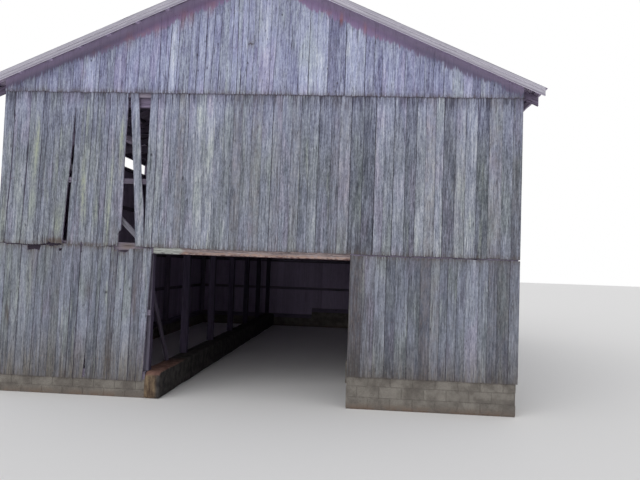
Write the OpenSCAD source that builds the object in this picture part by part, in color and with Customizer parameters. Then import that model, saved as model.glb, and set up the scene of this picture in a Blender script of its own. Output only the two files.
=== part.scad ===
// Timber-framed drive-through barn with three tiers of vertical board siding,
// an open wagon doorway in its front gable wall and a crimped metal roof.
// Millimetres, +Z up. The origin is on the ground under the middle of the barn,
// the front gable wall faces -Y and the drive runs along Y.

/* [Barn] */
// Width over the side walls
barn_w = 9760; // [8600:10:11000]
// Length over the end walls
barn_l = 14630; // [12000:10:18000]
// Number of bays between the bents
bay_count = 6; // [5:1:8]
// Rise of the roof for each unit of run
roof_slope = 0.44; // [0.35:0.01:0.55]

/* [Doorway] */
// Clear width between the door posts
door_w = 3690; // [3200:10:4200]
// Underside of the door header above the ground
header_z = 2680; // [2400:10:2900]
// Height of the door header and of the girts in line with it
header_h = 190; // [150:5:240]
// Distance that the siding stands back from the left door post at its foot
jamb_lean = 95; // [20:5:130]
// Distance that the siding stands back from the left door post at its head
jamb_head = 15; // [0:5:18]

/* [Foundation] */
// Thickness of the foundation walls
foundation_t = 250; // [240:10:400]
// Height of the foundation on the left, where the ground is low
foundation_left_h = 340; // [250:10:450]
// Height of the foundation on the right, where the ground is higher
foundation_right_h = 610; // [500:10:700]
// Width of the curb along the left of the drive
curb_w = 395; // [320:5:500]
// Width of the end of the curb that shows in the doorway
curb_nose_w = 290; // [250:5:310]
// Height worn off the front edge of that end
nose_wear = 70; // [20:5:90]
// Width of the square footings under the posts on the right of the drive
footing_w = 300; // [220:10:450]
// Height of those footings
footing_h = 490; // [300:10:600]

/* [Frame] */
// Width of the square posts and of the beams that join them
post_w = 150; // [120:5:180]
// Height of the sills on the foundation
sill_h = 150; // [120:5:200]
// Underside of the tie beams above the ground
tie_z = 5444; // [5380:2:5500]
// Height of the tie beams
tie_h = 200; // [160:5:240]
// Height of the plates that carry the rafters
plate_h = 200; // [160:5:240]
// Width of a gable stud
stud_w = 100; // [60:5:140]
// Depth of the braces
brace_d = 100; // [60:5:130]
// Width of the knee braces across the barn's length
knee_w = 100; // [60:5:120]
// Distance from the corner of a knee brace to its middle at each end
knee_leg = 700; // [500:10:900]
// Thickness of the wind braces
wind_t = 50; // [30:5:60]
// Height of the foot of the wind braces beside the doorway
wind_foot_z = 2810; // [2700:10:2900]
// Distance from the left door post to the foot of the plank that props it
prop_run = 1147; // [800:1:1400]
// Height of the head of that plank on the post
prop_head_z = 2084; // [1700:2:2400]

/* [Girts] */
// Thickness of the girts nailed outside the posts
girt_t = 50; // [35:5:70]
// Height of the plain girts
girt_h = 100; // [80:5:140]
// Underside of the girts at half the height of the lower siding
low_girt_z = 1530; // [1200:10:1800]
// Underside of the girts at half the height of the middle siding
high_girt_z = 3980; // [3700:10:4300]
// Underside of the top rail in the end walls
top_rail_z = 5630; // [5600:5:5660]
// Height of the part of the top rail that backs the foot of the gable siding
top_rail_lip = 110; // [80:5:140]
// Undersides of the girts inside the gables
gable_girt_zs = [6550, 7250];
// Underside of the top rail in the side walls, above the open vent
vent_head_z = 5500; // [5440:5:5560]
// Height of the top rail in the side walls
vent_head_h = 140; // [100:5:160]

/* [Siding] */
// Thickness of the boards
siding_t = 25; // [18:1:40]
// Distance that the lowest boards hang over the foundation
siding_lap = 30; // [10:5:60]
// Middle of the joint between the lower and the middle boards
joint_z = 2785; // [2740:5:2830]
// Height of the open joint between those boards
joint_gap = 20; // [6:2:40]
// Foot of the gable boards
gable_z = 5710; // [5690:5:5740]
// Distance that the gable boards hang over the middle boards
gable_lap = 40; // [20:5:60]
// Clearance of the gable boards round the purlins and under the roof sheets
purlin_notch_gap = 2; // [1:0.5:6]
// Top of the side walls' boards, below the open vent
side_top_z = 5210; // [4900:10:5300]

/* [Gaps in the front wall] */
// Distance from the left corner to the seam beside the narrow open wedge, at the foot of the middle boards
seam_foot = 1360; // [1180:5:1480]
// Distance from the left corner to that seam at the top of the middle boards
seam_top = 1415; // [1180:5:1480]
// Width of the wedge at its foot
wedge_w = 90; // [30:5:120]
// Height where the wedge closes
wedge_top_z = 5560; // [4500:10:5600]
// Distance from the left door post to the left edge of the gap of the missing board, at its foot
missing_foot = 480; // [405:1:685]
// Distance from the left door post to that edge at its top
missing_top = 450; // [430:1:585]
// Distance from the left door post to the right edge of that gap
missing_end = 27; // [5:1:33]
// Width of the loose board that hangs in the gap
loose_w = 160; // [120:1:165]
// Distance from the left door post to the left edge of the loose board at its foot
loose_foot = 195; // [190:1:285]
// Distance from the left door post to the left edge of the loose board at its top
loose_top = 425; // [325:1:445]
// Height that the loose board stands clear above the joint
loose_lift = 6; // [0:1:40]

/* [Roof] */
// Distance that the rafters run out past the side walls
eave_overhang = 300; // [150:10:450]
// Distance that the roof runs out past the end walls
verge_overhang = 300; // [150:10:450]
// Width of the rafters
rafter_w = 50; // [40:5:80]
// Depth of the rafters
rafter_d = 150; // [120:5:180]
// Number of rafter pairs in one bay
rafters_per_bay = 2; // [1:1:3]
// Width of the purlins laid flat on the rafters
purlin_w = 90; // [60:5:120]
// Thickness of the purlins
purlin_t = 40; // [25:5:60]
// Largest distance between the purlins
purlin_pitch = 640; // [450:10:900]
// Distance from the ridge or the eave to the middle of the nearest purlin
purlin_edge = 70; // [65:5:120]
// Height of the rake boards, measured upright
rake_h = 140; // [100:5:200]
// Thickness of the rake boards
rake_t = 30; // [20:5:50]
// Thickness of the roof sheets
sheet_t = 4; // [2:1:6]
// Width that one roof sheet covers
sheet_w = 610; // [450:10:900]
// Distance that the sheets run out past the rake boards and the rafters
sheet_drip = 25; // [10:5:50]
// Height of the crimps in the sheets
crimp_h = 14; // [8:1:24]
// Width of a crimp at its foot
crimp_w = 34; // [24:1:44]
// Width of the flat crest of a crimp
crimp_crest = 8; // [4:1:12]
// Distance between the two crimps at the lap of two sheets
crimp_pair = 46; // [46:1:70]
// Distance that the ridge cap reaches down each slope
cap_reach = 170; // [120:5:260]
// Thickness of the ridge cap
cap_t = 4; // [2:1:6]
// Radius of the roll along the top of the ridge cap
roll_r = 22; // [14:1:26]

/* [Hidden] */

// Planes of the walls, measured from the middle of the barn
half_w = barn_w / 2;
half_l = barn_l / 2;
girt_x = half_w - siding_t;
girt_y = half_l - siding_t;
post_x = girt_x - girt_t;
post_y = girt_y - girt_t;
inner_x = post_x - post_w;
inner_y = post_y - post_w;
footing_y = girt_y - foundation_t;

// Line of the posts beside the drive
drive_x = door_w / 2;
drive_out_x = drive_x + post_w;
curb_x = drive_out_x - curb_w;
nose_x = curb_x + curb_nose_w;
bent_ys = [for (i = [0 : bay_count]) -(post_y + inner_y) / 2 + i * (post_y + inner_y) / bay_count];
mid_bents = [for (i = [1 : bay_count - 1]) bent_ys[i]];

// Levels of the frame
sill_left_z = foundation_left_h + sill_h;
sill_right_z = foundation_right_h + sill_h;
tie_top = tie_z + tie_h;
plate_top = tie_top + plate_h;

// The roof: rafter tops meet at the ridge, and rafters sit on the eave plates
slope_angle = atan(roof_slope);
rafter_v = rafter_d / cos(slope_angle);
purlin_v = purlin_t / cos(slope_angle);
ridge_z = plate_top + rafter_v + roof_slope * inner_x;
eave_x = half_w + eave_overhang;
verge_y = half_l + verge_overhang;
slope_len = eave_x / cos(slope_angle);
function rafter_top(x) = ridge_z - roof_slope * abs(x);
function rafter_foot(x) = rafter_top(x) - rafter_v;
function roof_x(z) = (ridge_z - z) / roof_slope;
drive_plate_top = rafter_foot(drive_x);
rafter_count = bay_count * rafters_per_bay;
rafter_ys = [for (i = [0 : rafter_count]) bent_ys[0] + i * (2 * -bent_ys[0]) / rafter_count];
purlin_count = ceil((slope_len - 2 * purlin_edge) / purlin_pitch);
purlin_step = (slope_len - 2 * purlin_edge) / purlin_count;
crest_z = purlin_t + sheet_t + crimp_h;

// Levels of the siding
lower_top_z = joint_z - joint_gap / 2;
middle_foot_z = joint_z + joint_gap / 2;
middle_top_z = gable_z + gable_lap;
top_rail_head = middle_top_z + top_rail_lip;

// Places in the front wall
seam_foot_x = -half_w + seam_foot;
seam_top_x = -half_w + seam_top;
missing_foot_x = -drive_out_x - missing_foot;
missing_top_x = -drive_out_x - missing_top;
missing_right_x = -drive_out_x - missing_end;
loose_foot_x = -drive_out_x - loose_foot;
loose_top_x = -drive_out_x - loose_top;
function seam_x(z) = seam_foot_x
    + (seam_top_x - seam_foot_x) * (z - middle_foot_z) / (middle_top_z - middle_foot_z);

// Colours of the weathered materials
boards_colour = [0.56, 0.56, 0.59];
timber_colour = [0.36, 0.30, 0.26];
curb_colour = [0.42, 0.30, 0.24];
concrete_colour = [0.60, 0.57, 0.54];
metal_colour = [0.55, 0.47, 0.43];

// A box between two opposite corners
module block(low, high) {
    translate(low) cube(high - low);
}

// An outline of [x, z] points, as thick as the distance from y0 to y1
module slab_across(points, y0, y1) {
    translate([0, y1, 0]) rotate([90, 0, 0]) linear_extrude(height = y1 - y0) polygon(points);
}

// An outline of [y, z] points, as long as the distance from x0 to x1
module slab_along(points, x0, x1) {
    translate([x0, 0, 0]) rotate([90, 0, 90]) linear_extrude(height = x1 - x0) polygon(points);
}

module both_sides() {
    children();
    mirror([1, 0, 0]) children();
}

module both_ends() {
    children();
    mirror([0, 1, 0]) children();
}

// Frame of one slope: x runs from the ridge down to the right eave, z stands off the rafters
module on_slope() {
    translate([0, 0, ridge_z]) rotate([0, slope_angle, 0]) children();
}

// Foundation walls of concrete, the curb of the drive and the footings

module foundation_front_left() {
    color(concrete_colour)
    block([-girt_x, -girt_y, 0], [-nose_x, -footing_y, foundation_left_h]);
}

module foundation_front_right() {
    color(concrete_colour)
    block([drive_x, -girt_y, 0], [girt_x, -footing_y, foundation_right_h]);
}

module foundation_left() {
    color(concrete_colour)
    block([-girt_x, -footing_y, 0], [-girt_x + foundation_t, footing_y, foundation_left_h]);
}

module foundation_right() {
    color(concrete_colour)
    block([girt_x - foundation_t, -footing_y, 0], [girt_x, footing_y, foundation_right_h]);
}

module foundation_back() {
    color(concrete_colour) {
        block([-girt_x, footing_y, 0], [0, girt_y, foundation_left_h]);
        block([0, footing_y, 0], [girt_x, girt_y, foundation_right_h]);
    }
}

// The curb under the posts left of the drive, with a narrower, worn end in the doorway
module drive_curb() {
    color(curb_colour) {
        block([-drive_out_x, -footing_y, 0], [-curb_x, footing_y, sill_left_z]);
        slab_along([
            [-footing_y, 0],
            [-footing_y, sill_left_z],
            [-post_y, sill_left_z],
            [-half_l, sill_left_z - nose_wear],
            [-half_l, 0]
        ], -nose_x, -curb_x);
    }
}

module post_footings() {
    spread = (footing_w - post_w) / 2;
    color(concrete_colour)
    for (y = mid_bents)
        block([drive_x - spread, y - footing_w / 2, 0],
              [drive_out_x + spread, y + footing_w / 2, footing_h]);
}

// Timber frame

module sills_end() {
    color(timber_colour) {
        block([-post_x, -post_y, foundation_left_h], [-nose_x, -inner_y, sill_left_z]);
        block([drive_x, -post_y, foundation_right_h], [post_x, -inner_y, sill_right_z]);
        block([-post_x, inner_y, foundation_left_h], [0, post_y, sill_left_z]);
        block([0, inner_y, foundation_right_h], [post_x, post_y, sill_right_z]);
    }
}

module sills_side() {
    color(timber_colour) {
        block([-post_x, -inner_y, foundation_left_h], [-inner_x, inner_y, sill_left_z]);
        block([inner_x, -inner_y, foundation_right_h], [post_x, inner_y, sill_right_z]);
    }
}

// A post whose face nearest the middle of the barn is at x, on the right or the left side
module post(side, x, y, foot, head) {
    low_x = side > 0 ? x : -x - post_w;
    block([low_x, y - post_w / 2, foot], [low_x + post_w, y + post_w / 2, head]);
}

module door_posts() {
    color(timber_colour) {
        post(-1, drive_x, bent_ys[0], sill_left_z, tie_z);
        post(1, drive_x, bent_ys[0], sill_right_z, tie_z);
    }
}

module door_header() {
    color(timber_colour)
    block([-drive_x, -girt_y, header_z], [drive_x, -inner_y, header_z + header_h]);
}

module wall_posts() {
    color(timber_colour)
    for (y = bent_ys) {
        post(-1, inner_x, y, sill_left_z, tie_z);
        post(1, inner_x, y, sill_right_z, tie_z);
    }
}

module drive_posts() {
    color(timber_colour) {
        for (y = mid_bents) {
            post(-1, drive_x, y, sill_left_z, tie_z);
            post(1, drive_x, y, footing_h, tie_z);
        }
        post(-1, drive_x, bent_ys[bay_count], sill_left_z, tie_z);
        post(1, drive_x, bent_ys[bay_count], sill_right_z, tie_z);
    }
}

module tie_beams() {
    color(timber_colour)
    for (y = bent_ys)
        block([-post_x, y - post_w / 2, tie_z], [post_x, y + post_w / 2, tie_top]);
}

module queen_posts() {
    color(timber_colour)
    for (y = bent_ys, side = [-1, 1])
        post(side, drive_x, y, tie_top, drive_plate_top - plate_h);
}

module roof_plates() {
    color(timber_colour)
    both_sides() {
        block([inner_x, -post_y, tie_top], [post_x, post_y, plate_top]);
        block([drive_x, -post_y, drive_plate_top - plate_h], [drive_out_x, post_y, drive_plate_top]);
    }
}

// A knee brace on the right, between a post's face at x and the tie beam, leaning over the drive
module knee_brace(x, y) {
    half = brace_d / sqrt(2);
    slab_across([
        [x, tie_z - knee_leg - half],
        [x, tie_z - knee_leg + half],
        [x - knee_leg + half, tie_z],
        [x - knee_leg - half, tie_z]
    ], y - knee_w / 2, y + knee_w / 2);
}

module knee_braces() {
    color(timber_colour)
    both_sides()
    for (y = bent_ys) knee_brace(drive_x, y);
}

// A long brace in the end walls, from beside the doorway up to the corner post
module wind_brace() {
    head_z = tie_z - brace_d;
    run = inner_x - drive_out_x;
    rise = head_z - wind_foot_z;
    half = brace_d * norm([run, rise]) / run / 2;
    slab_across([
        [drive_out_x, wind_foot_z - half],
        [inner_x, head_z - half],
        [inner_x, head_z + half],
        [drive_out_x, wind_foot_z + half]
    ], -post_y, -post_y + wind_t);
}

// The raking plank that props the left door post from the curb
module prop_plank() {
    rise = prop_head_z - sill_left_z;
    long = norm([prop_run, rise]);
    half_head = brace_d * long / prop_run / 2;
    half_foot = brace_d * long / rise / 2;
    middle_x = -drive_x - post_w / 2;
    slab_along([
        [-inner_y, prop_head_z + half_head],
        [-inner_y, prop_head_z - half_head],
        [-inner_y + prop_run - half_foot, sill_left_z],
        [-inner_y + prop_run + half_foot, sill_left_z]
    ], middle_x - wind_t / 2, middle_x + wind_t / 2);
}

module wind_braces() {
    color(timber_colour) {
        both_ends() both_sides() wind_brace();
        prop_plank();
    }
}

// A stud from the end tie beam up to the slanting underside of the end rafters
module gable_stud(x) {
    left = x - stud_w / 2;
    right = x + stud_w / 2;
    crown = x == 0 ? [[0, rafter_foot(0)]] : [];
    slab_across(concat(
        [[left, tie_top], [right, tie_top], [right, rafter_foot(right)]],
        crown,
        [[left, rafter_foot(left)]]
    ), -post_y, bent_ys[0] + rafter_w / 2);
}

module gable_studs() {
    third = (inner_x - drive_out_x) / 3;
    color(timber_colour)
    both_ends() {
        gable_stud(0);
        both_sides()
        for (x = [drive_x / 2, drive_out_x + third, drive_out_x + 2 * third])
            gable_stud(x);
    }
}

// Girts: horizontal rails that the boards are nailed to

// The stepped rail behind the joint of the middle and the gable boards, at the front
module top_rail() {
    slab_along([
        [-girt_y, top_rail_z],
        [-post_y, top_rail_z],
        [-post_y, top_rail_head],
        [-half_l, top_rail_head],
        [-half_l, middle_top_z],
        [-girt_y, middle_top_z]
    ], -girt_x, girt_x);
}

// A girt inside the front gable, cut to the slope of the roof
module gable_girt(z) {
    foot_x = roof_x(z);
    head_x = roof_x(z + girt_h);
    slab_across([[-foot_x, z], [foot_x, z], [head_x, z + girt_h], [-head_x, z + girt_h]],
                -half_l, -post_y);
}

// A girt on the front wall from x0 to x1
module end_girt(x0, x1, z, height) {
    block([x0, -girt_y, z], [x1, -post_y, z + height]);
}

module upper_end_girts() {
    end_girt(-girt_x, girt_x, high_girt_z, girt_h);
    top_rail();
    for (z = gable_girt_zs) gable_girt(z);
}

module girts_front() {
    color(timber_colour) {
        end_girt(-girt_x, -nose_x, foundation_left_h, sill_h);
        end_girt(drive_x, girt_x, foundation_right_h, sill_h);
        both_sides() {
            end_girt(drive_x, girt_x, low_girt_z, girt_h);
            end_girt(drive_x, girt_x, header_z, header_h);
        }
        upper_end_girts();
    }
}

module girts_back() {
    color(timber_colour)
    mirror([0, 1, 0]) {
        end_girt(-girt_x, 0, foundation_left_h, sill_h);
        end_girt(0, girt_x, foundation_right_h, sill_h);
        end_girt(-girt_x, girt_x, low_girt_z, girt_h);
        end_girt(-girt_x, girt_x, header_z, header_h);
        upper_end_girts();
    }
}

// The girts of one side wall, drawn on the right, above a foundation of a given height
module side_girts(foundation_h) {
    for (level = [
        [foundation_h, sill_h],
        [low_girt_z, girt_h],
        [header_z, header_h],
        [high_girt_z, girt_h],
        [side_top_z - girt_h, girt_h],
        [vent_head_z, vent_head_h]
    ])
        block([post_x, -post_y, level[0]], [girt_x, post_y, level[0] + level[1]]);
}

module girts_left() {
    color(timber_colour) mirror([1, 0, 0]) side_girts(foundation_left_h);
}

module girts_right() {
    color(timber_colour) side_girts(foundation_right_h);
}

// Roof

// One rafter of the right slope, notched over the drive plate and the eave plate
module rafter(y) {
    slab_across([
        [0, rafter_top(0)],
        [0, rafter_foot(0)],
        [drive_x, drive_plate_top],
        [drive_out_x, drive_plate_top],
        [drive_out_x, rafter_foot(drive_out_x)],
        [inner_x, plate_top],
        [post_x, plate_top],
        [post_x, rafter_foot(post_x)],
        [eave_x, rafter_foot(eave_x)],
        [eave_x, rafter_top(eave_x)]
    ], y - rafter_w / 2, y + rafter_w / 2);
}

module rafters_right() {
    color(timber_colour) for (y = rafter_ys) rafter(y);
}

module rafters_left() {
    color(timber_colour) mirror([1, 0, 0]) for (y = rafter_ys) rafter(y);
}

// All purlins, made larger by a clearance, from one place along the barn to another
module purlin_rows(y0, y1, clearance) {
    both_sides() on_slope()
    for (i = [0 : purlin_count])
        block([purlin_edge + i * purlin_step - purlin_w / 2 - clearance, y0, -clearance],
              [purlin_edge + i * purlin_step + purlin_w / 2 + clearance, y1, purlin_t + clearance]);
}

module purlins() {
    end_y = verge_y - rake_t;
    color(timber_colour) purlin_rows(-end_y, end_y, 0);
}

// Outline of the underside of one slope's sheets: crimps in pairs at the laps, one between
sheet_end_y = verge_y + sheet_drip;
sheet_count = round(2 * sheet_end_y / sheet_w);
sheet_cover = 2 * sheet_end_y / sheet_count;
crimps_of_sheet = [crimp_w, crimp_w + crimp_pair, crimp_w + (crimp_pair + sheet_cover) / 2];
crimp_ys = [for (i = [0 : sheet_count - 1], at = crimps_of_sheet) -sheet_end_y + i * sheet_cover + at];
function sheet_line(lift) = concat(
    [[-sheet_end_y, lift]],
    [for (y = crimp_ys, p = [[-crimp_w, 0], [-crimp_crest, crimp_h], [crimp_crest, crimp_h], [crimp_w, 0]])
        [y + p[0] / 2, lift + p[1]]],
    [[sheet_end_y, lift]]
);
function reversed(list) = [for (i = [len(list) - 1 : -1 : 0]) list[i]];

module roof_sheets() {
    outline = concat(sheet_line(purlin_t), reversed(sheet_line(purlin_t + sheet_t)));
    on_slope() slab_along(outline, 0, slope_len + sheet_drip);
}

module roof_sheets_right() {
    color(metal_colour) roof_sheets();
}

module roof_sheets_left() {
    color(metal_colour) mirror([1, 0, 0]) roof_sheets();
}

module ridge_cap() {
    reach_x = cap_reach * cos(slope_angle);
    low_v = crest_z / cos(slope_angle);
    high_v = (crest_z + cap_t) / cos(slope_angle);
    color(metal_colour) {
        slab_across([
            [-reach_x, rafter_top(reach_x) + low_v],
            [0, ridge_z + low_v],
            [reach_x, rafter_top(reach_x) + low_v],
            [reach_x, rafter_top(reach_x) + high_v],
            [0, ridge_z + high_v],
            [-reach_x, rafter_top(reach_x) + high_v]
        ], -sheet_end_y, sheet_end_y);
        translate([0, sheet_end_y, ridge_z + high_v]) rotate([90, 0, 0])
            cylinder(r = roll_r, h = 2 * sheet_end_y, $fn = 24);
    }
}

// The rake boards of the right slope, at both ends of the barn
module rake_boards() {
    both_ends()
    slab_across([
        [0, ridge_z + purlin_v],
        [eave_x, rafter_top(eave_x) + purlin_v],
        [eave_x, rafter_top(eave_x) + purlin_v - rake_h],
        [0, ridge_z + purlin_v - rake_h]
    ], -verge_y, -verge_y + rake_t);
}

module rake_boards_right() {
    color(boards_colour) rake_boards();
}

module rake_boards_left() {
    color(boards_colour) mirror([1, 0, 0]) rake_boards();
}

// Siding of vertical boards

// A flat piece of the front wall's siding in the plane of the lower and middle boards
module front_boards(points) {
    color(boards_colour) slab_across(points, -half_l, -girt_y);
}

module siding_lower_left() {
    front_boards([
        [-half_w, foundation_left_h - siding_lap],
        [-drive_x - jamb_lean, foundation_left_h - siding_lap],
        [-drive_x - jamb_head, lower_top_z],
        [-half_w, lower_top_z]
    ]);
}

module siding_lower_right() {
    front_boards([
        [drive_x, foundation_right_h - siding_lap],
        [half_w, foundation_right_h - siding_lap],
        [half_w, lower_top_z],
        [drive_x, lower_top_z]
    ]);
}

module siding_middle_left() {
    front_boards([
        [-half_w, middle_foot_z],
        [seam_foot_x - wedge_w, middle_foot_z],
        [seam_x(wedge_top_z), wedge_top_z],
        [seam_top_x, middle_top_z],
        [-half_w, middle_top_z]
    ]);
}

module siding_middle_centre() {
    front_boards([
        [seam_foot_x, middle_foot_z],
        [missing_foot_x, middle_foot_z],
        [missing_top_x, middle_top_z],
        [seam_top_x, middle_top_z]
    ]);
}

module loose_board() {
    front_boards([
        [loose_foot_x, middle_foot_z + loose_lift],
        [loose_foot_x + loose_w, middle_foot_z + loose_lift],
        [loose_top_x + loose_w, middle_top_z],
        [loose_top_x, middle_top_z]
    ]);
}

module siding_middle_right() {
    front_boards([
        [missing_right_x, middle_foot_z],
        [half_w, middle_foot_z],
        [half_w, middle_top_z],
        [missing_right_x, middle_top_z]
    ]);
}

// Gable siding at the front, one board thickness proud of the boards below it.
// It reaches up to the roof sheets and is cut round the purlins.
module gable_boards() {
    head = purlin_v - purlin_notch_gap;
    color(boards_colour)
    difference() {
        slab_across([
            [-half_w, gable_z],
            [half_w, gable_z],
            [half_w, rafter_top(half_w) + head],
            [0, ridge_z + head],
            [-half_w, rafter_top(half_w) + head]
        ], -half_l - siding_t, -half_l);
        purlin_rows(-half_l - 2 * siding_t, -half_l + siding_t, purlin_notch_gap);
    }
}

module siding_gable_front() {
    gable_boards();
}

module siding_gable_back() {
    mirror([0, 1, 0]) gable_boards();
}

module siding_back_lower() {
    color(boards_colour)
    slab_across([
        [-half_w, foundation_left_h - siding_lap],
        [0, foundation_left_h - siding_lap],
        [0, foundation_right_h - siding_lap],
        [half_w, foundation_right_h - siding_lap],
        [half_w, lower_top_z],
        [-half_w, lower_top_z]
    ], girt_y, half_l);
}

module siding_back_middle() {
    color(boards_colour)
    block([-half_w, girt_y, middle_foot_z], [half_w, half_l, middle_top_z]);
}

// Siding of a side wall, drawn on the right, between two heights
module side_boards(foot, head) {
    block([girt_x, -girt_y, foot], [half_w, girt_y, head]);
}

module siding_left_lower() {
    color(boards_colour) mirror([1, 0, 0]) side_boards(foundation_left_h - siding_lap, lower_top_z);
}

module siding_left_upper() {
    color(boards_colour) mirror([1, 0, 0]) side_boards(middle_foot_z, side_top_z);
}

module siding_right_lower() {
    color(boards_colour) side_boards(foundation_right_h - siding_lap, lower_top_z);
}

module siding_right_upper() {
    color(boards_colour) side_boards(middle_foot_z, side_top_z);
}

foundation_front_left();
foundation_front_right();
foundation_left();
foundation_right();
foundation_back();
drive_curb();
post_footings();
sills_end();
sills_side();
door_posts();
door_header();
wall_posts();
drive_posts();
tie_beams();
queen_posts();
roof_plates();
girts_front();
girts_back();
girts_left();
girts_right();
knee_braces();
wind_braces();
gable_studs();
rafters_left();
rafters_right();
purlins();
roof_sheets_left();
roof_sheets_right();
ridge_cap();
rake_boards_left();
rake_boards_right();
siding_lower_left();
siding_lower_right();
siding_middle_left();
siding_middle_centre();
loose_board();
siding_middle_right();
siding_gable_front();
siding_back_lower();
siding_back_middle();
siding_gable_back();
siding_left_lower();
siding_left_upper();
siding_right_lower();
siding_right_upper();
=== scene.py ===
import math
import random

import bmesh
import bpy
import numpy as np
from mathutils import Matrix, Vector, noise


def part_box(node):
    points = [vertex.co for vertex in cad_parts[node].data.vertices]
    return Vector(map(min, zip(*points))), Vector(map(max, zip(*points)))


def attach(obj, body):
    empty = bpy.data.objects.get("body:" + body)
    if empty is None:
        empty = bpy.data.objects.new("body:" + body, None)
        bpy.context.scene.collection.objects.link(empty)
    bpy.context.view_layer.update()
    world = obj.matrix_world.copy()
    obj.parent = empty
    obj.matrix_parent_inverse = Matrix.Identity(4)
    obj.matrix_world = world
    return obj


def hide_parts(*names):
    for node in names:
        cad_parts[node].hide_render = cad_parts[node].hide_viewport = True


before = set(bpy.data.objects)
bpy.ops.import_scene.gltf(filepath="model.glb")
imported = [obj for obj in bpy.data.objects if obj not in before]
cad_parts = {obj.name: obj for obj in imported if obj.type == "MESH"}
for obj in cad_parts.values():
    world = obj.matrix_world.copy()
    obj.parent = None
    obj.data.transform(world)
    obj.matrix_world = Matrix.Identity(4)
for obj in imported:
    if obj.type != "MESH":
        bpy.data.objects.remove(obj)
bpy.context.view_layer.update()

BODY = "root"
SEED = 41

# The camera, fitted to the straight edges of the photograph
PHOTO_WIDTH_PX = 640
FOCAL_PX = 602.8
SENSOR_MM = 36.0
CAMERA_PLACE = Vector((2.0746, -18.325, 2.56))
CAMERA_YAW = 0.0721
CAMERA_PITCH = 0.0430
CAMERA_ROLL = 0.0354

# Light and floor
WORLD_LEVEL = 0.75
WORLD_COLOUR = (0.97, 0.98, 1.0, 1.0)
WHITE = (1.0, 1.0, 1.0, 1.0)
SUN_LEVEL = 1.3
SUN_SOFTNESS = 60
SUN_TOWARDS = Vector((0.40, 0.85, -0.36))
FLOOR_REACH = 150
FLOOR_COLOUR = (0.80, 0.79, 0.78, 1.0)

# Gaps between boards, in metres: hairline, plain and open ones, and shut ones for the far walls
HAIR = 0.0006
THIN = 0.0018
PLAIN = 0.0045
OPEN = 0.009
SHUT = -0.003
MIXED_GAPS = (HAIR, HAIR, THIN, THIN, PLAIN, PLAIN, OPEN)

# Shape of a sawn board: its edges, how uneven it is, and the rows and columns of its grid
BOARD_BEVEL = 0.003
BOARD_SOFTEN = 0.002
BOARD_CUP = 0.005
BOARD_STAND = 0.004
BOARD_TWIST = 0.006
BOARD_BOW = 0.0015
BOARD_WANDER = 0.0016
BOARD_WIDTHS = (0.14, 0.235)
BOARD_LEAN = 0.006
BOARD_COLUMNS = (0.17, 0.34, 0.5, 0.66, 0.83)
LEAST_COLUMN = 0.02
ROW_STEP = 0.32
END_ROWS = (0.035, 0.09)
LEAST_ROW = 0.002
SPLICE_GAP = 0.004
LAST_WIDTH = 0.27
MARK_CLEAR = 0.02
PAINT_SHUT = 0.8
TINY = 1e-6
# Corners nearer than this to a plane are on it
NEAR = 1e-3
# Stains up to this high get rows and columns of their own, at these shares of their reach
SMALL_STAIN = 0.17
STAIN_ROWS = (-1.5, -0.8, 0, 0.8, 1.5)
STAIN_COLUMNS = (-1, 0, 1)
# How far the wear of a board's ends and edges reaches; the darkened edges also hold painted shade along the
# joints
END_REACH = 0.06
EDGE_REACH = 0.022
EDGE_WORN = 0.85

# How far each tier has weathered, from the damp lower wall to the bleached gable; the gable's paler, bluer
# colour is partly painted sky glare
LEVEL_LOWER = 0.0
LEVEL_MIDDLE = 0.5
LEVEL_GABLE = 1.0
# Unevenness of the boards' feet and heads in each tier
TIER_RAG = {LEVEL_LOWER: (0.006, 0.009), LEVEL_MIDDLE: (0.012, 0.005), LEVEL_GABLE: (0.010, 0.004)}
# How far the paint still reaches down from the rafters' top
PAINT_REACH = 0.24

# Timbers
WELD = 1e-5
WANDER_PITCH = 1.7
HEWN_EDGE = 0.007
HEWN_WANDER = 0.004
HEWN_STEP = 0.6
SAWN_EDGE = 0.003
SAWN_WANDER = 0.002
GIRT_STEP = 0.09
HEADER_STEP = 0.15
FAR_STEP = 1.2
# How grey the front faces are of timbers that stand in the front wall
BLEACH_DOOR_POSTS = 0.45
BLEACH_BRACES = 1.0
BLEACH_GIRTS = 0.45

# Rake boards, each with a narrow strip along its upper edge
RAKE_STEP = 0.5
STRIP_H = 0.055
STRIP_T = 0.021
STRIP_DROP = 0.0015
STRIP_TUCK = 0.004
STRIP_EDGE = 0.002
STRIP_WANDER = 0.0015
STRIP_STEP = 0.4
STRIP_ENDS = (0.004, 0.006)

# Foundations of concrete blocks, footings and the curb
BLOCK_LENGTH = 0.40
BLOCK_HEIGHT = 0.20
BLOCK_EDGE = 0.006
BLOCK_WANDER = 0.002
LEAST_BLOCK = 0.03
MORTAR = 0.010
MORTAR_DEPTH = 0.006
MORTAR_EDGE = 0.001
MORTAR_TONE = (0.2, 0.5, 1.0)
FOOTING_EDGE = 0.015
FOOTING_WANDER = 0.006
FOOTING_STEP = 0.1
CURB_EDGE = 0.035
CURB_WANDER = 0.016
CURB_STEP = 0.16
CURB_LEVELS = (0.12, 0.24, 0.36)

# Roof sheets, in two courses, and the ridge cap
SHEET_T = 0.002
SHEET_WIDTH = 0.61
SHEET_STEP = 0.45
SHEET_RAG = 0.012
SHEET_WAVE = 0.0012
COURSE_LAP = 0.12
COURSE_RAG = 0.02
COURSE_LIFT = 0.005
CRIMP_H = 0.014
CRIMP_HALF = 0.017
CREST_HALF = 0.004
CRIMP_PAIR = 0.046
CRIMP_FIRST = 0.034
SIDE_TUCK = 0.012
SIDE_LAP = 0.014
LAP_RISE = 0.0025
LAP_POINTS = 5
PURLIN_T = 0.04
ROOF_CLEAR = 0.001
SHEET_TOP = 0.01
SHEET_END_REACH = 0.05
RIDGE_LENGTHS = 5
RIDGE_LAP = 0.07
RIDGE_TUCK = 0.0025

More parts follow.
